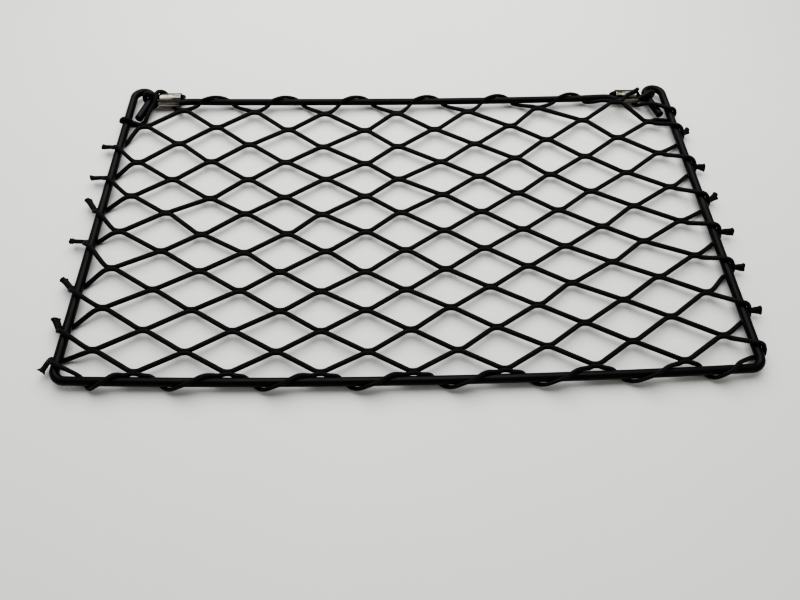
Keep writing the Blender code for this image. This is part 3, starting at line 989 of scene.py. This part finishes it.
@dataclass
class Netting:
    """Knotless netting: zigzag cords, joined side by side where neighbours meet.

    A path is half of a cord's way through a joint: along, beside, and its share of its width.
    """

    layout: Layout
    tails: TailSizes = TailSizes()
    last_column: int = 7
    pitch: float = 29.4 * MM
    shift: float = -1.0 * MM
    rows: tuple[float, ...] = (3.6, 18, 34, 51, 67, 83, 101, 118, 137, 152, 170, 187, 206, 225, 245)
    lift_left: float = 4.5 * MM
    lift_right: float = 7.5 * MM
    joint_path: tuple[Point, ...] = (
        (4.6 * MM, 2.0 * MM, 0.97),
        (2.3 * MM, 1.06 * MM, 0.90),
        (0.0, 0.86 * MM, 0.87),
    )
    lifted_path: tuple[Point, ...] = (
        (5.0 * MM, 1.25 * MM, 0.74),
        (2.5 * MM, 1.0 * MM, 0.74),
        (0.0, 0.9 * MM, 0.74),
    )
    lifted_joint: Point = (180.3 * MM, 249.3 * MM, 4.9 * MM)
    sag: float = 1.2 * MM
    sag_lost: float = 0.6
    knot_x: float = 229.8 * MM
    knot_half: float = 1.5 * MM
    knot_drop: float = 1.2 * MM
    knot_high: float = 0.7
    slope_back: float = 2.5 * MM
    corner_wrap_x: float = 214.0 * MM
    top_shift: float = -4.0 * MM
    top_thick: float = 2.7 * MM
    top_reach: float = 4.1 * MM
    wrap_width: float = 3.2 * MM
    wrap_high: float = 0.94
    corner_width: float = 3.3 * MM
    corner_high: float = 0.9
    turn_steps: int = 16
    wrap_from: int = 2
    sides: int = 8
    step: float = 0.8 * MM
    rib_depth: float = 0.13
    run_ribs: float = 0.9
    tight_ribs: float = 0.5
    run_shares: tuple[float, float] = (0.2, 0.8)
    flat: tuple[float, float] = (0.462, 0.290)
    cloth_area: float = 0.0405

    @property
    def top_row(self) -> int:
        """The number of the last row of joints."""
        return len(self.rows) - 1

    def joint(self, column: int, row: int) -> Vector:
        """The middle of a joint; the last one at the top right lies on its ferrule's edge.

        Args:
            column: The joint's column; every second one holds joints in a row.
            row: Its row, from the bottom bar.

        Returns:
            The point.
        """
        if self.is_lifted(column, row):
            x, y, up = self.lifted_joint
            return Vector((x, y, self.layout.level + up))
        across = column / self.last_column
        along = 2 * row / self.top_row - 1
        lift = self.lift_left if column < 0 else self.lift_right
        place = (column + self.last_column) // 2
        x = column * self.pitch + self.shift + DRAWN_ACROSS[row][place] * MM
        y = self.rows[row] * MM + lift * across**2 + DRAWN_ALONG[row][place] * MM
        z = self.layout.level - self.sag * (1 - along**2) ** 2 * (1 - self.sag_lost * across**6)
        return Vector((x, y, z))

    def is_lifted(self, column: int, row: int) -> bool:
        """Whether it is the joint that lies on its ferrule's edge."""
        return (column, row) == (self.last_column - 1, self.top_row)

    def path(self, column: int, row: int) -> tuple[Point, ...]:
        """Half of a cord's way through this joint."""
        return self.lifted_path if self.is_lifted(column, row) else self.joint_path

    def leave(self, at: Crossing, side: Side) -> Vector:
        """Where a cord leaves its joint.

        Args:
            at: The cord at the joint.
            side: To which side it leaves.

        Returns:
            The point.
        """
        along, beside, _ = self.path(at.column, at.row)[0]
        offset = Vector((side.value * along, beside if at.up else -beside, 0.0))
        return self.joint(at.column, at.row) + offset

    def cord(
        self, at: Vector, ribbed: float | None = None, up: float = 1.0, wide: float = 0.0
    ) -> Station:
        """A station with the size of a cord that is drawn tight.

        Args:
            at: The point.
            ribbed: The ribs' share of their depth, or None for the usual one.
            up: The share of its full height that it has there.
            wide: Its width, or 0 for the usual one.

        Returns:
            The station.
        """
        layout = self.layout
        ribs = self.tight_ribs if ribbed is None else ribbed
        return Station(at, (wide or layout.cord_width) / 2, layout.cord_height / 2 * up, ribs)

    def through_joint(self, at: Crossing) -> list[Station]:
        """A cord's way through a joint.

        Args:
            at: The cord at the joint.

        Returns:
            The stations, from left to right.
        """
        layout = self.layout
        sign = 1.0 if at.up else -1.0
        middle = self.joint(at.column, at.row)
        half = self.path(at.column, at.row)
        made = []
        for side, steps in ((-1.0, half), (1.0, half[-2::-1])):
            for along, beside, share in steps:
                point = middle + Vector((side * along, sign * beside, 0.0))
                width = layout.net_width / 2 * share
                made.append(Station(point, width, layout.net_height / 2 * (0.5 + share / 2), 1.0))
        return made

    def free_run(self, start: Vector, end: Vector) -> list[Station]:
        """The stations of a cord between two joints, where it is roundest."""
        half = (self.layout.net_width / 2, self.layout.net_height / 2)
        return [Station(start.lerp(end, share), *half, self.run_ribs) for share in self.run_shares]

    def thinned(self, turn: float) -> float:
        """A wrapped cord's share of its height: full over and under a bar, less beside it."""
        layout = self.layout
        return between(layout.cord_width / layout.cord_height, self.wrap_high, math.sin(turn) ** 2)

    def bottom_wrap(self, start_x: float, end_x: float) -> list[Station]:
        """A cord's turn round the bottom bar: under it, out, over it and back.

        Args:
            start_x: Where the turn's way starts along the bar.
            end_x: Where it ends.

        Returns:
            The stations.
        """
        layout = self.layout
        made = []
        for way, degrees in BOTTOM_TURN:
            turn = math.radians(degrees)
            x = between(start_x, end_x, way)
            y = layout.bar_y(x) + layout.wrap_wide * math.cos(turn)
            z = layout.level - layout.wrap_high * math.sin(turn)
            share = self.thinned(turn)
            made.append(self.cord(Vector((x, y, z)), up=share, wide=self.wrap_width * share))
        return made

    def top_wrap(self, middle_x: float) -> list[Station]:
        """A cord's turn round the elastic: over it, along its far side, under it and back.

        Args:
            middle_x: The middle of the turn along the elastic.

        Returns:
            The stations.
        """
        layout = self.layout
        half = self.top_thick / 2
        made = []
        for along, degrees in TOP_TURN:
            turn = math.radians(degrees)
            x = middle_x + along * MM
            y = layout.edge_y(x) - self.top_reach * math.cos(turn)
            z = layout.level + self.top_reach * math.sin(turn)
            made.append(Station(Vector((x, y, z)), half, half, 1.0))
        return made

    def side_wrap(self, side: Side, inner: float, outer: float, lace: Lace) -> list[Station]:
        """A cord's half turn over or under a side bar, from the net to the outside.

        Args:
            side: Which bar.
            inner: Where it reaches the bar's inner side.
            outer: Where it reaches the outer side.
            lace: Over or under the bar.

        Returns:
            The stations.
        """
        layout = self.layout
        made = []
        for step in range(1, self.turn_steps // 2):
            turn = math.tau * step / self.turn_steps
            x = side.value * (layout.half_width - layout.wrap_wide * math.cos(turn))
            y = between(inner, outer, turn / math.pi)
            z = layout.level + lace.value * layout.wrap_high * math.sin(turn)
            at = Vector((x, y, z))
            made.append(self.cord(at, up=self.thinned(turn), wide=self.wrap_width))
        return made

    def corner(self, side: Side) -> list[Station]:
        """The cord's way from the last top joint round its ferrule and eye to the side joint.

        Args:
            side: Which corner.

        Returns:
            The stations.
        """
        level = self.layout.level
        route, turn = LEFT_CORNER, LEFT_TURN
        if side is Side.RIGHT:
            route, turn = RIGHT_CORNER, RIGHT_TURN
        size = {"up": self.corner_high, "wide": self.corner_width}
        made = [self.cord(Vector((x * MM, y * MM, level + up * MM)), **size) for x, y, up in route]
        out = self.side_wrap(side, turn.out_from * MM, turn.out_to * MM, turn.first)
        made += out[self.wrap_from :]
        x, y = turn.farthest
        made.append(self.cord(Vector((x * MM, y * MM, level)), **size))
        second = Lace(-turn.first.value)
        back = self.side_wrap(side, turn.back_to * MM, turn.back_from * MM, second)
        return made + back[::-1]

    def last_top_wrap(self) -> list[Station]:
        """The last turn round the elastic, which climbs beside it to the lifted joint.

        Returns:
            The stations.
        """
        layout = self.layout
        start = self.joint(self.last_column - 3, self.top_row).x
        end = self.joint(self.last_column - 1, self.top_row).x
        made = self.top_wrap((start + end) / 2 + self.top_shift)
        for x, inwards, up in LAST_RUN:
            y = layout.edge_y(x * MM) - inwards * MM
            made.append(self.cord(Vector((x * MM, y, layout.level + up * MM))))
        return made

    def tail(self, side: Side, knot: Knot, upper: bool, lace: Lace) -> list[Station]:
        """A cord's way from its wrap through the knot to its cut end.

        Args:
            side: Which side bar.
            knot: The knot.
            upper: Whether the cord is the one nearer the top.
            lace: Whether the cord comes over or under the bar.

        Returns:
            The stations.
        """
        layout = self.layout
        tails = self.tails
        centre = Vector((side.value * self.knot_x, knot.at * MM, layout.level))
        reach = Vector((side.value * knot.tail_out * MM, knot.tail_up * MM, 0.0))
        away = reach.normalized()
        beside = Vector((-away.y, away.x, 0.0))
        if (beside.y < 0) == upper:
            beside = -beside
        apart = max(tails.least_apart, knot.tail_width * MM / 2 - layout.cord_width / 2)
        stack = math.sqrt(max(0.0, tails.stacked**2 - apart**2)) * lace.value
        offset = beside * apart + Vector((0.0, 0.0, stack))
        root = tails.root_left if side is Side.LEFT else tails.root_right
        tip = centre + reach + offset * tails.splayed - Vector((0.0, 0.0, tails.droop))
        places = (centre, centre + away * root, centre.lerp(tip, tails.middle), tip)
        return [
            self.cord(place + offset * apart_share, 1.0, up, tails.cord * wide)
            for place, (apart_share, up, wide) in zip(places, tails.ways)
        ]

    def straight_reach(self, knot: Knot, strand: int) -> float:
        """Where a strand that runs straight from its last joint to a left knot meets the bar.

        Args:
            knot: The knot.
            strand: The strand's number.

        Returns:
            The y at the bar's inner side.
        """
        up = (self.last_column + strand) % 2 == 0
        last = Crossing(-self.last_column, strand if up else strand + 1, up)
        left = self.leave(last, Side.LEFT)
        bar_x = -self.layout.half_width + self.layout.wrap_wide
        return between(left.y, knot.at * MM, (left.x - bar_x) / (left.x + self.knot_x))

    def side_end(self, side: Side, strand: int) -> list[Station]:
        """A strand's way from its last joint round the side bar to its cut end.

        Args:
            side: Which side bar.
            strand: The strand's number; it runs between that row of joints and the next.

        Returns:
            The stations, outwards.
        """
        index, lower = divmod(self.top_row - 2 - strand, 2)
        upper_strand = not lower
        knot = (LEFT_KNOTS if side is Side.LEFT else RIGHT_KNOTS)[index]
        at = knot.at * MM
        lace = Lace.OVER if upper_strand == (side is Side.RIGHT) else Lace.UNDER
        if lace is Lace.OVER:
            inner = knot.over * MM - self.slope_back
            outer = at - self.knot_half if side is Side.LEFT else at + self.knot_drop
        else:
            left = side is Side.LEFT
            inner = self.straight_reach(knot, strand) if left else knot.under * MM
            outer = at - side.value * self.knot_half
        made = self.side_wrap(side, inner, outer, lace)[self.wrap_from :]
        if knot.tail_width:
            made += self.tail(side, knot, upper_strand, lace)
        elif lace is Lace.OVER:
            end = Vector((self.knot_x, at, self.layout.level))
            made.append(self.cord(end, up=self.knot_high))
        return made

    def towards(self, at: Crossing, start: Vector) -> list[Station]:
        """A cord's way to its next joint: free, or round the bar or the elastic.

        Args:
            at: The cord at its next joint.
            start: Where it left the joint before.

        Returns:
            The stations between the two.
        """
        end = self.leave(at, Side.LEFT)
        if at.row == 0 and not at.up:
            return self.bottom_wrap(start.x, end.x)
        if at.row < self.top_row or not at.up:
            return self.free_run(start, end)
        if self.is_lifted(at.column, at.row):
            return self.last_top_wrap()
        return self.top_wrap((start.x + end.x) / 2 + self.top_shift)

    def strand(self, number: int) -> list[Station]:
        """A zigzag cord from joint to joint, without its ends.

        Args:
            number: The strand's number; it runs between that row of joints and the next.

        Returns:
            The stations, from left to right.
        """
        made = []
        for column in range(-self.last_column, self.last_column + 1):
            up = (column - number) % 2 == 0
            at = Crossing(column, number if up else number + 1, up)
            if 0 <= at.row <= self.top_row:
                made += self.towards(at, made[-1].at) if made else []
                made += self.through_joint(at)
        return made

    def strands(self) -> list[list[Station]]:
        """Every cord of the net.

        Returns:
            Each as one way from cut end to cut end, and last the one that closes.
        """
        made = []
        for number in range(1, self.top_row - 1):
            left = self.side_end(Side.LEFT, number)[::-1]
            made.append(left + self.strand(number) + self.side_end(Side.RIGHT, number))
        inner_x = self.leave(Crossing(self.last_column - 1, 0, False), Side.RIGHT).x
        lowest = self.strand(-1)
        first = self.side_end(Side.LEFT, 0)[::-1] + self.strand(0)
        first += self.side_end(Side.RIGHT, 0)
        first += self.side_end(Side.RIGHT, -1)[::-1]
        first += self.bottom_wrap(inner_x, self.corner_wrap_x)[::-1]
        first += lowest[::-1]
        first += self.bottom_wrap(-self.corner_wrap_x, lowest[0].at.x)[::-1]
        first += self.side_end(Side.LEFT, -1)
        made.append(first)
        closed = self.strand(self.top_row - 1) + self.corner(Side.RIGHT)[::-1]
        closed += self.strand(self.top_row)[::-1] + self.corner(Side.LEFT)
        made.append(closed[1:] + closed[:2])
        return made

    def build(self, finish: bpy.types.Material, carriers: Sequence[bpy.types.Object]) -> None:
        """Knit the net.

        Args:
            finish: The cord.
            carriers: Not used.
        """
        parts = []
        strands = self.strands()
        for index, stations in enumerate(strands):
            kind = End.FLAT if index == len(strands) - 1 else End.FRAYED
            slant = 1.0 if index % 2 else -1.0
            tube = Tube(stations, self.sides, self.step, kind, kind, slant, self.rib_depth)
            parts.append(tube.build())
        made = finished("net_cords", parts, finish, "net_cord", "net")


# ------------------------------------------------------------------ finishes


@dataclass
class Wiring:
    """Short ways to add and join the nodes of a tree."""

    tree: bpy.types.NodeTree

    def feed(self, socket: bpy.types.NodeSocket, source: object) -> None:
        """Join an output to a socket, or set the socket to a constant.

        Args:
            socket: The socket.
            source: The output or the constant.
        """
        if isinstance(source, bpy.types.NodeSocket):
            self.tree.links.new(source, socket)
        else:
            socket.default_value = source

    def add(
        self, kind: str, inputs: Mapping[str, object] | None = None, **settings: object
    ) -> bpy.types.Node:
        """Add a node.

        Args:
            kind: The node's type without its common prefix.
            inputs: The outputs or constants that feed its inputs, by name.
            **settings: Its properties.

        Returns:
            The node.
        """
        node = self.tree.nodes.new(f"ShaderNode{kind}")
        for name, value in settings.items():
            setattr(node, name, value)
        for name, source in (inputs or {}).items():
            self.feed(node.inputs[name], source)
        return node

    def place(self) -> bpy.types.NodeSocket:
        """Where a point lies on the object."""
        return self.add("TexCoord").outputs["Object"]

    def math(self, operation: str, *values: object, clamp: bool = False) -> bpy.types.NodeSocket:
        """A Math node over outputs or numbers.

        Args:
            operation: What it computes.
            *values: Its inputs.
            clamp: Whether it is held between 0 and 1.

        Returns:
            Its output.
        """
        node = self.add("Math", operation=operation, use_clamp=clamp)
        for socket, value in zip(node.inputs, values):
            self.feed(socket, value)
        return node.outputs[0]

    def noise(
        self, place: bpy.types.NodeSocket, scale: object, detail: float
    ) -> bpy.types.NodeSocket:
        """The value of a noise texture at a place."""
        return self.add("TexNoise", {"Vector": place, "Scale": scale, "Detail": detail}).outputs[0]

    def spread(self, value: bpy.types.NodeSocket, *limits: float) -> bpy.types.NodeSocket:
        """A value taken from one range to another, and held inside it.

        Args:
            value: The value.
            *limits: The first range's least and greatest value, then the second range's.

        Returns:
            The value in the second range.
        """
        ranges = dict(zip(("From Min", "From Max", "To Min", "To Max"), limits))
        return self.add("MapRange", {"Value": value, **ranges}, clamp=True).outputs[0]

    def blend(
        self, share: bpy.types.NodeSocket, first: object, second: object
    ) -> bpy.types.NodeSocket:
        """A colour between two others.

        Args:
            share: The second colour's share.
            first: A colour or a colour output.
            second: Another.

        Returns:
            The mixed colour.
        """
        node = self.add("Mix", {"Factor": share}, data_type="RGBA")
        for socket, source in zip((node.inputs[6], node.inputs[7]), (first, second)):
            self.feed(socket, (*source, 1.0) if isinstance(source, tuple) else source)
        return node.outputs[2]

    def bump(
        self, height: bpy.types.NodeSocket, strength: float, distance: float
    ) -> bpy.types.NodeSocket:
        """The normal of a surface with these heights."""
        inputs = {"Height": height, "Strength": strength, "Distance": distance}
        return self.add("Bump", inputs).outputs[0]

    def group(self, tree: bpy.types.NodeTree, **values: float) -> bpy.types.Node:
        """Place a node group.

        Args:
            tree: The group's tree.
            **values: Its inputs, named in lower case.

        Returns:
            The node.
        """
        node = self.add("Group", node_tree=tree)
        for name, value in values.items():
            node.inputs[name.title()].default_value = value
        return node


def new_group(
    name: str, inputs: Sequence[str], outputs: Sequence[str]
) -> tuple[Wiring, bpy.types.Node, bpy.types.Node]:
    """An empty shader node group.

    Args:
        name: Its name.
        inputs: The names of its number inputs.
        outputs: The names of its number outputs.

    Returns:
        Its wiring, its input node and its output node.
    """
    tree = bpy.data.node_groups.new(name, "ShaderNodeTree")
    for way, labels in (("INPUT", inputs), ("OUTPUT", outputs)):
        for label in labels:
            tree.interface.new_socket(label, in_out=way, socket_type="NodeSocketFloat")
    entry = tree.nodes.new("NodeGroupInput")
    leave = tree.nodes.new("NodeGroupOutput")
    return Wiring(tree), entry, leave


@dataclass
class Effects:
    """The effects that more than one finish uses, each a node group built once."""

    yarn_round: float = 0.7
    patch_detail: float = 4.0
    patch_limits: tuple[float, ...] = (0.56, 0.72, 0.0, 1.0)
    grain_detail: float = 2.0
    grain_limits: tuple[float, ...] = (0.42, 0.62, 0.25, 1.0)
    braid: bpy.types.NodeTree = field(init=False)
    wear: bpy.types.NodeTree = field(init=False)

    def __post_init__(self) -> None:
        """Build the groups."""
        self.braid = self.make_braid()
        self.wear = self.make_wear()

    def make_braid(self) -> bpy.types.NodeTree:
        """Yarns that cross round a cord: how high they stand, and the crevices between them.

        Returns:
            The group.
        """
        wiring, entry, leave = new_group("braid", ("Pitch", "Strands"), ("Height", "Crevice"))
        place = wiring.add("UVMap", uv_map=CORD_UV).outputs[0]
        parts = wiring.add("SeparateXYZ", {"Vector": place})
        along = wiring.math("DIVIDE", parts.outputs[0], entry.outputs["Pitch"])
        round_it = wiring.math("MULTIPLY", parts.outputs[1], entry.outputs["Strands"])
        waves = []
        for operation in ("ADD", "SUBTRACT"):
            phase = wiring.math(operation, along, round_it)
            wave = wiring.math("SINE", wiring.math("MULTIPLY", phase, math.tau))
            waves.append(wiring.math("MULTIPLY_ADD", wave, 0.5, 0.5))
        height = wiring.math("POWER", wiring.math("MAXIMUM", *waves), self.yarn_round)
        wiring.feed(leave.inputs["Height"], height)
        wiring.feed(leave.inputs["Crevice"], wiring.math("SUBTRACT", 1.0, height, clamp=True))
        return wiring.tree

    def make_wear(self) -> bpy.types.NodeTree:
        """Where a surface is rubbed: patches, broken up by fine scratches.

        Returns:
            The group.
        """
        wiring, entry, leave = new_group("wear", ("Patch", "Grain"), ("Rubbed", "Fine"))
        place = wiring.place()
        patch = wiring.noise(place, entry.outputs["Patch"], self.patch_detail)
        fine = wiring.noise(place, entry.outputs["Grain"], self.grain_detail)
        mask = wiring.spread(patch, *self.patch_limits)
        broken = wiring.spread(fine, *self.grain_limits)
        wiring.feed(leave.inputs["Rubbed"], wiring.math("MULTIPLY", mask, broken))
        wiring.feed(leave.inputs["Fine"], fine)
        return wiring.tree


@dataclass
class Surface(Wiring):
    """A new material, with the wiring of its tree and its Principled shader."""

    tree: bpy.types.NodeTree = field(init=False)
    name: str
    made: bpy.types.Material = field(init=False)

    def __post_init__(self) -> None:
        """Make the material."""
        self.made = bpy.data.materials.new(self.name)
        self.made.use_nodes = True
        self.tree = self.made.node_tree

    def dressed(self, inputs: Mapping[str, object]) -> bpy.types.Material:
        """Feed the shader.

        Args:
            inputs: The outputs or constants that feed its inputs, by name.

        Returns:
            The material.
        """
        for name, source in inputs.items():
            self.feed(self.tree.nodes["Principled BSDF"].inputs[name], source)
        return self.made


@dataclass(frozen=True)
class PowderCoat:
    """Satin black coating on the rod, rubbed slightly grey where the net and hands touch it.

    Here and below, a noise is its scale and its detail, a bump is its strength and its
    depth, and limits are two ranges, from the first to the second.
    """

    black: Point = (0.0040, 0.0040, 0.0046)
    rubbed: Point = (0.016, 0.016, 0.017)
    patch: float = 38.0
    grain: float = 900.0
    worn: float = 0.55
    cloud: tuple[float, float] = (60.0, 4.0)
    roughness: tuple[float, ...] = (0.3, 0.7, 0.30, 0.46)
    peel: tuple[float, float] = (1400.0, 2.0)
    peel_bump: tuple[float, float] = (0.22, 0.12 * MM)
    gloss: float = 0.13

    def build(self, effects: Effects) -> bpy.types.Material:
        """Mix the coating.

        Args:
            effects: The shared effects.

        Returns:
            The material.
        """
        coat = Surface("satin_powder_coat")
        place = coat.place()
        wear = coat.group(effects.wear, patch=self.patch, grain=self.grain)
        tone = coat.math("MULTIPLY", wear.outputs["Rubbed"], self.worn)
        return coat.dressed(
            {
                "Base Color": coat.blend(tone, self.black, self.rubbed),
                "Roughness": coat.spread(coat.noise(place, *self.cloud), *self.roughness),
                "Normal": coat.bump(coat.noise(place, *self.peel), *self.peel_bump),
                "Specular IOR Level": self.gloss,
            }
        )


@dataclass(frozen=True)
class BraidedCord:
    """Black netting cord: matt yarns whose crowns carry a painted highlight, with grey lint in
    specks.
    """

    name: str = "braided_net_cord"
    black: Point = (0.0022, 0.0022, 0.0028)
    painted_crown_highlight: Point = (0.0075, 0.0078, 0.0095)
    lint: Point | None = (0.030, 0.030, 0.030)
    specks: tuple[float, float] = (700.0, 1.0)
    speck_limits: tuple[float, ...] = (0.70, 0.78, 0.0, 0.5)
    pitch: float = 1.62 * MM
    strands: float = 2.0
    cloud: tuple[float, float] = (45.0, 3.0)
    fibre: tuple[float, float] = (2600.0, 3.0)
    fibre_high: float = 0.35
    roughness: tuple[float, ...] = (0.0, 1.0, 0.58, 0.92)
    yarn_bump: tuple[float, float] = (0.75, 0.22 * MM)
    sheen: float = 0.03
    sheen_rough: float = 0.45
    gloss: float = 0.18

    def build(self, effects: Effects) -> bpy.types.Material:
        """Dye the yarns.

        Args:
            effects: The shared effects.

        Returns:
            The material.
        """
        cord = Surface(self.name)
        place = cord.place()
        yarns = cord.group(effects.braid, pitch=self.pitch, strands=self.strands).outputs
        # Painted highlight: the yarns' crowns are painted lighter and the crevices stay black as
        # painted shade, varied by a random noise.
        lift = cord.math("MULTIPLY", yarns["Height"], cord.noise(place, *self.cloud))
        colour = cord.blend(lift, self.black, self.painted_crown_highlight)
        if self.lint:
            specks = cord.spread(cord.noise(place, *self.specks), *self.speck_limits)
            colour = cord.blend(specks, colour, self.lint)
        fibre = cord.noise(place, *self.fibre)
        height = cord.math("MULTIPLY_ADD", fibre, self.fibre_high, yarns["Height"])
        return cord.dressed(
            {
                "Base Color": colour,
                "Roughness": cord.spread(yarns["Crevice"], *self.roughness),
                "Normal": cord.bump(height, *self.yarn_bump),
                "Sheen Weight": self.sheen,
                "Sheen Roughness": self.sheen_rough,
                "Specular IOR Level": self.gloss,
            }
        )


@dataclass(frozen=True)
class ElasticSleeve(BraidedCord):
    """Fine, tight woven sleeve of the shock cord, smoother than the netting and clean; its yarns'
    crowns carry the same painted highlight.
    """

    name: str = "woven_elastic_sleeve"
    black: Point = (0.0025, 0.0025, 0.0030)
    painted_crown_highlight: Point = (0.0075, 0.0075, 0.0090)
    lint: Point | None = None
    pitch: float = 1.9 * MM
    strands: float = 8.0
    cloud: tuple[float, float] = (90.0, 3.0)
    fibre: tuple[float, float] = (2400.0, 2.0)
    fibre_high: float = 0.2
    roughness: tuple[float, ...] = (0.0, 1.0, 0.42, 0.75)
    yarn_bump: tuple[float, float] = (0.5, 0.10 * MM)
    sheen: float = 0.01
    sheen_rough: float = 0.5
    gloss: float = 0.15


@dataclass(frozen=True)
class FerruleMetal:
    """Bright plated sheet, slightly yellow, scratched by the press and dull in places, with
    near-black streaks along it as painted reflections.
    """

    bright: Point = (0.30, 0.285, 0.24)
    dull: Point = (0.085, 0.08, 0.065)
    painted_reflection_dark: Point = (0.020, 0.019, 0.017)
    drawn_out: Point = (0.08, 1.0, 1.0)
    lines: tuple[float, float] = (5200.0, 3.0)
    line_limits: tuple[float, ...] = (0.3, 0.8, 0.0, 0.3)
    line_bump: tuple[float, float] = (0.25, 0.05 * MM)
    patch: float = 210.0
    grain: float = 1500.0
    worn: float = 0.7
    broad: tuple[float, float] = (620.0, 1.0)
    painted_reflection_limits: tuple[float, ...] = (0.46, 0.56, 0.0, 0.90)
    roughness: tuple[float, ...] = (0.7, 1.3, 0.20, 0.42)

    def build(self, effects: Effects) -> bpy.types.Material:
        """Plate the sheet.

        Args:
            effects: The shared effects.

        Returns:
            The material.
        """
        sheet = Surface("plated_ferrule_sheet")
        inputs = {"Scale": self.drawn_out, "Vector": sheet.place()}
        drawn = sheet.add("Mapping", inputs).outputs[0]
        lines = sheet.noise(drawn, *self.lines)
        wear = sheet.group(effects.wear, patch=self.patch, grain=self.grain).outputs
        faint = sheet.spread(lines, *self.line_limits)
        tone = sheet.math("MULTIPLY_ADD", wear["Rubbed"], self.worn, faint)
        # Painted reflection: near-black streaks along the ferrule, placed by a stretched noise,
        # stand in for dark surroundings reflected in the metal.
        painted_reflection_streaks = sheet.spread(sheet.noise(drawn, *self.broad), *self.painted_reflection_limits)
        plated = sheet.blend(tone, self.bright, self.dull)
        fine = sheet.math("ADD", lines, wear["Fine"])
        return sheet.dressed(
            {
                "Base Color": sheet.blend(painted_reflection_streaks, plated, self.painted_reflection_dark),
                "Metallic": 1.0,
                "Roughness": sheet.spread(fine, *self.roughness),
                "Normal": sheet.bump(lines, *self.line_bump),
            }
        )


@dataclass(frozen=True)
class PaleFloor:
    """Plain pale board under the net."""

    pale: Point = (0.70, 0.70, 0.675)
    worn: Point = (0.66, 0.66, 0.64)
    cloud: tuple[float, float] = (6.0, 4.0)
    roughness: float = 0.62

    def build(self) -> bpy.types.Material:
        """Paint the floor.

        Returns:
            The material.
        """
        board = Surface("pale_floor")
        colour = board.blend(board.noise(board.place(), *self.cloud), self.pale, self.worn)
        return board.dressed({"Base Color": colour, "Roughness": self.roughness})


# ------------------------------------------------------------------ studio


@dataclass
class Studio:
    """The pale floor, the soft lights and the camera."""

    floor_size: float = 6.0
    lens: float = 29.25
    film: float = 36.0
    nearest: float = 0.01
    farthest: float = 50.0
    eye: Point = (-18.3 * MM, -316.25 * MM, 375.7 * MM)
    heading: float = 0.04865
    pitch: float = 0.99307
    roll: float = 0.025315
    light_at: Point = (-0.02, 0.34, 0.72)
    light_size: float = 1.00
    light_watts: float = 10.8
    room_light: float = 0.38
    room_colour: tuple[float, ...] = (1.0, 0.995, 0.975, 1.0)
    contrast: str = "AgX - High Contrast"

    def camera(self) -> None:
        """Set the camera above the bottom bar, looking down at the net."""
        data = bpy.data.cameras.new("camera")
        data.lens = self.lens
        data.sensor_width = self.film
        data.clip_start = self.nearest
        data.clip_end = self.farthest
        flat = math.cos(self.pitch)
        level = Vector((math.cos(self.heading), -math.sin(self.heading), 0.0))
        ahead = Vector((math.sin(self.heading) * flat, math.cos(self.heading) * flat, 0.0))
        ahead.z = -math.sin(self.pitch)
        above = level.cross(ahead)
        right = level * math.cos(self.roll) + above * math.sin(self.roll)
        up = above * math.cos(self.roll) - level * math.sin(self.roll)
        made = placed("camera", data)
        made.rotation_euler = Matrix((right, up, -ahead)).transposed().to_euler()
        made.location = self.eye
        bpy.context.scene.camera = made

    def floor(self) -> None:
        """Lay the floor that the net rests on."""
        shape = bmesh.new()
        bmesh.ops.create_grid(shape, x_segments=1, y_segments=1, size=self.floor_size / 2)
        data = bpy.data.meshes.new("floor")
        shape.to_mesh(data)
        shape.free()
        data.materials.append(PaleFloor().build())
        placed("floor", data)

    def light(self) -> None:
        """Hang a square soft light that faces the net."""
        data = bpy.data.lights.new("ceiling_light", "AREA")
        data.shape = "SQUARE"
        data.size = self.light_size
        data.energy = self.light_watts
        made = placed("ceiling_light", data)
        made.location = self.light_at
        made.rotation_euler = Vector(self.light_at).to_track_quat("Z", "Y").to_euler()

    def room(self) -> None:
        """Light the room evenly, and set the picture's contrast."""
        world = bpy.data.worlds.new("room")
        bpy.context.scene.world = world
        world.use_nodes = True
        background = world.node_tree.nodes["Background"]
        background.inputs["Color"].default_value = self.room_colour
        background.inputs["Strength"].default_value = self.room_light
        bpy.context.scene.view_settings.look = self.contrast

    def build(self) -> None:
        """Set up the studio."""
        for part in (self.camera, self.floor, self.light, self.room):
            part()


# ------------------------------------------------------------------ the whole object


def main() -> None:
    """Build the studio and every piece of the net, and note the sizes."""
    logging.basicConfig(level=logging.INFO, format="%(message)s")
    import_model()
    Studio().build()
    effects = Effects()
    sizes = FerruleSizes()
    rod = RodFrame(LAYOUT).build(PowderCoat().build(effects))
    elastic = ElasticEdge(LAYOUT, sizes).build(ElasticSleeve().build(effects))
    metal = FerruleMetal().build(effects)
    for side in Side:
        Ferrule(LAYOUT, sizes, side).build(metal)
    Netting(LAYOUT).build(BraidedCord().build(effects), [rod, elastic])


if __name__ == "__main__":
    main()
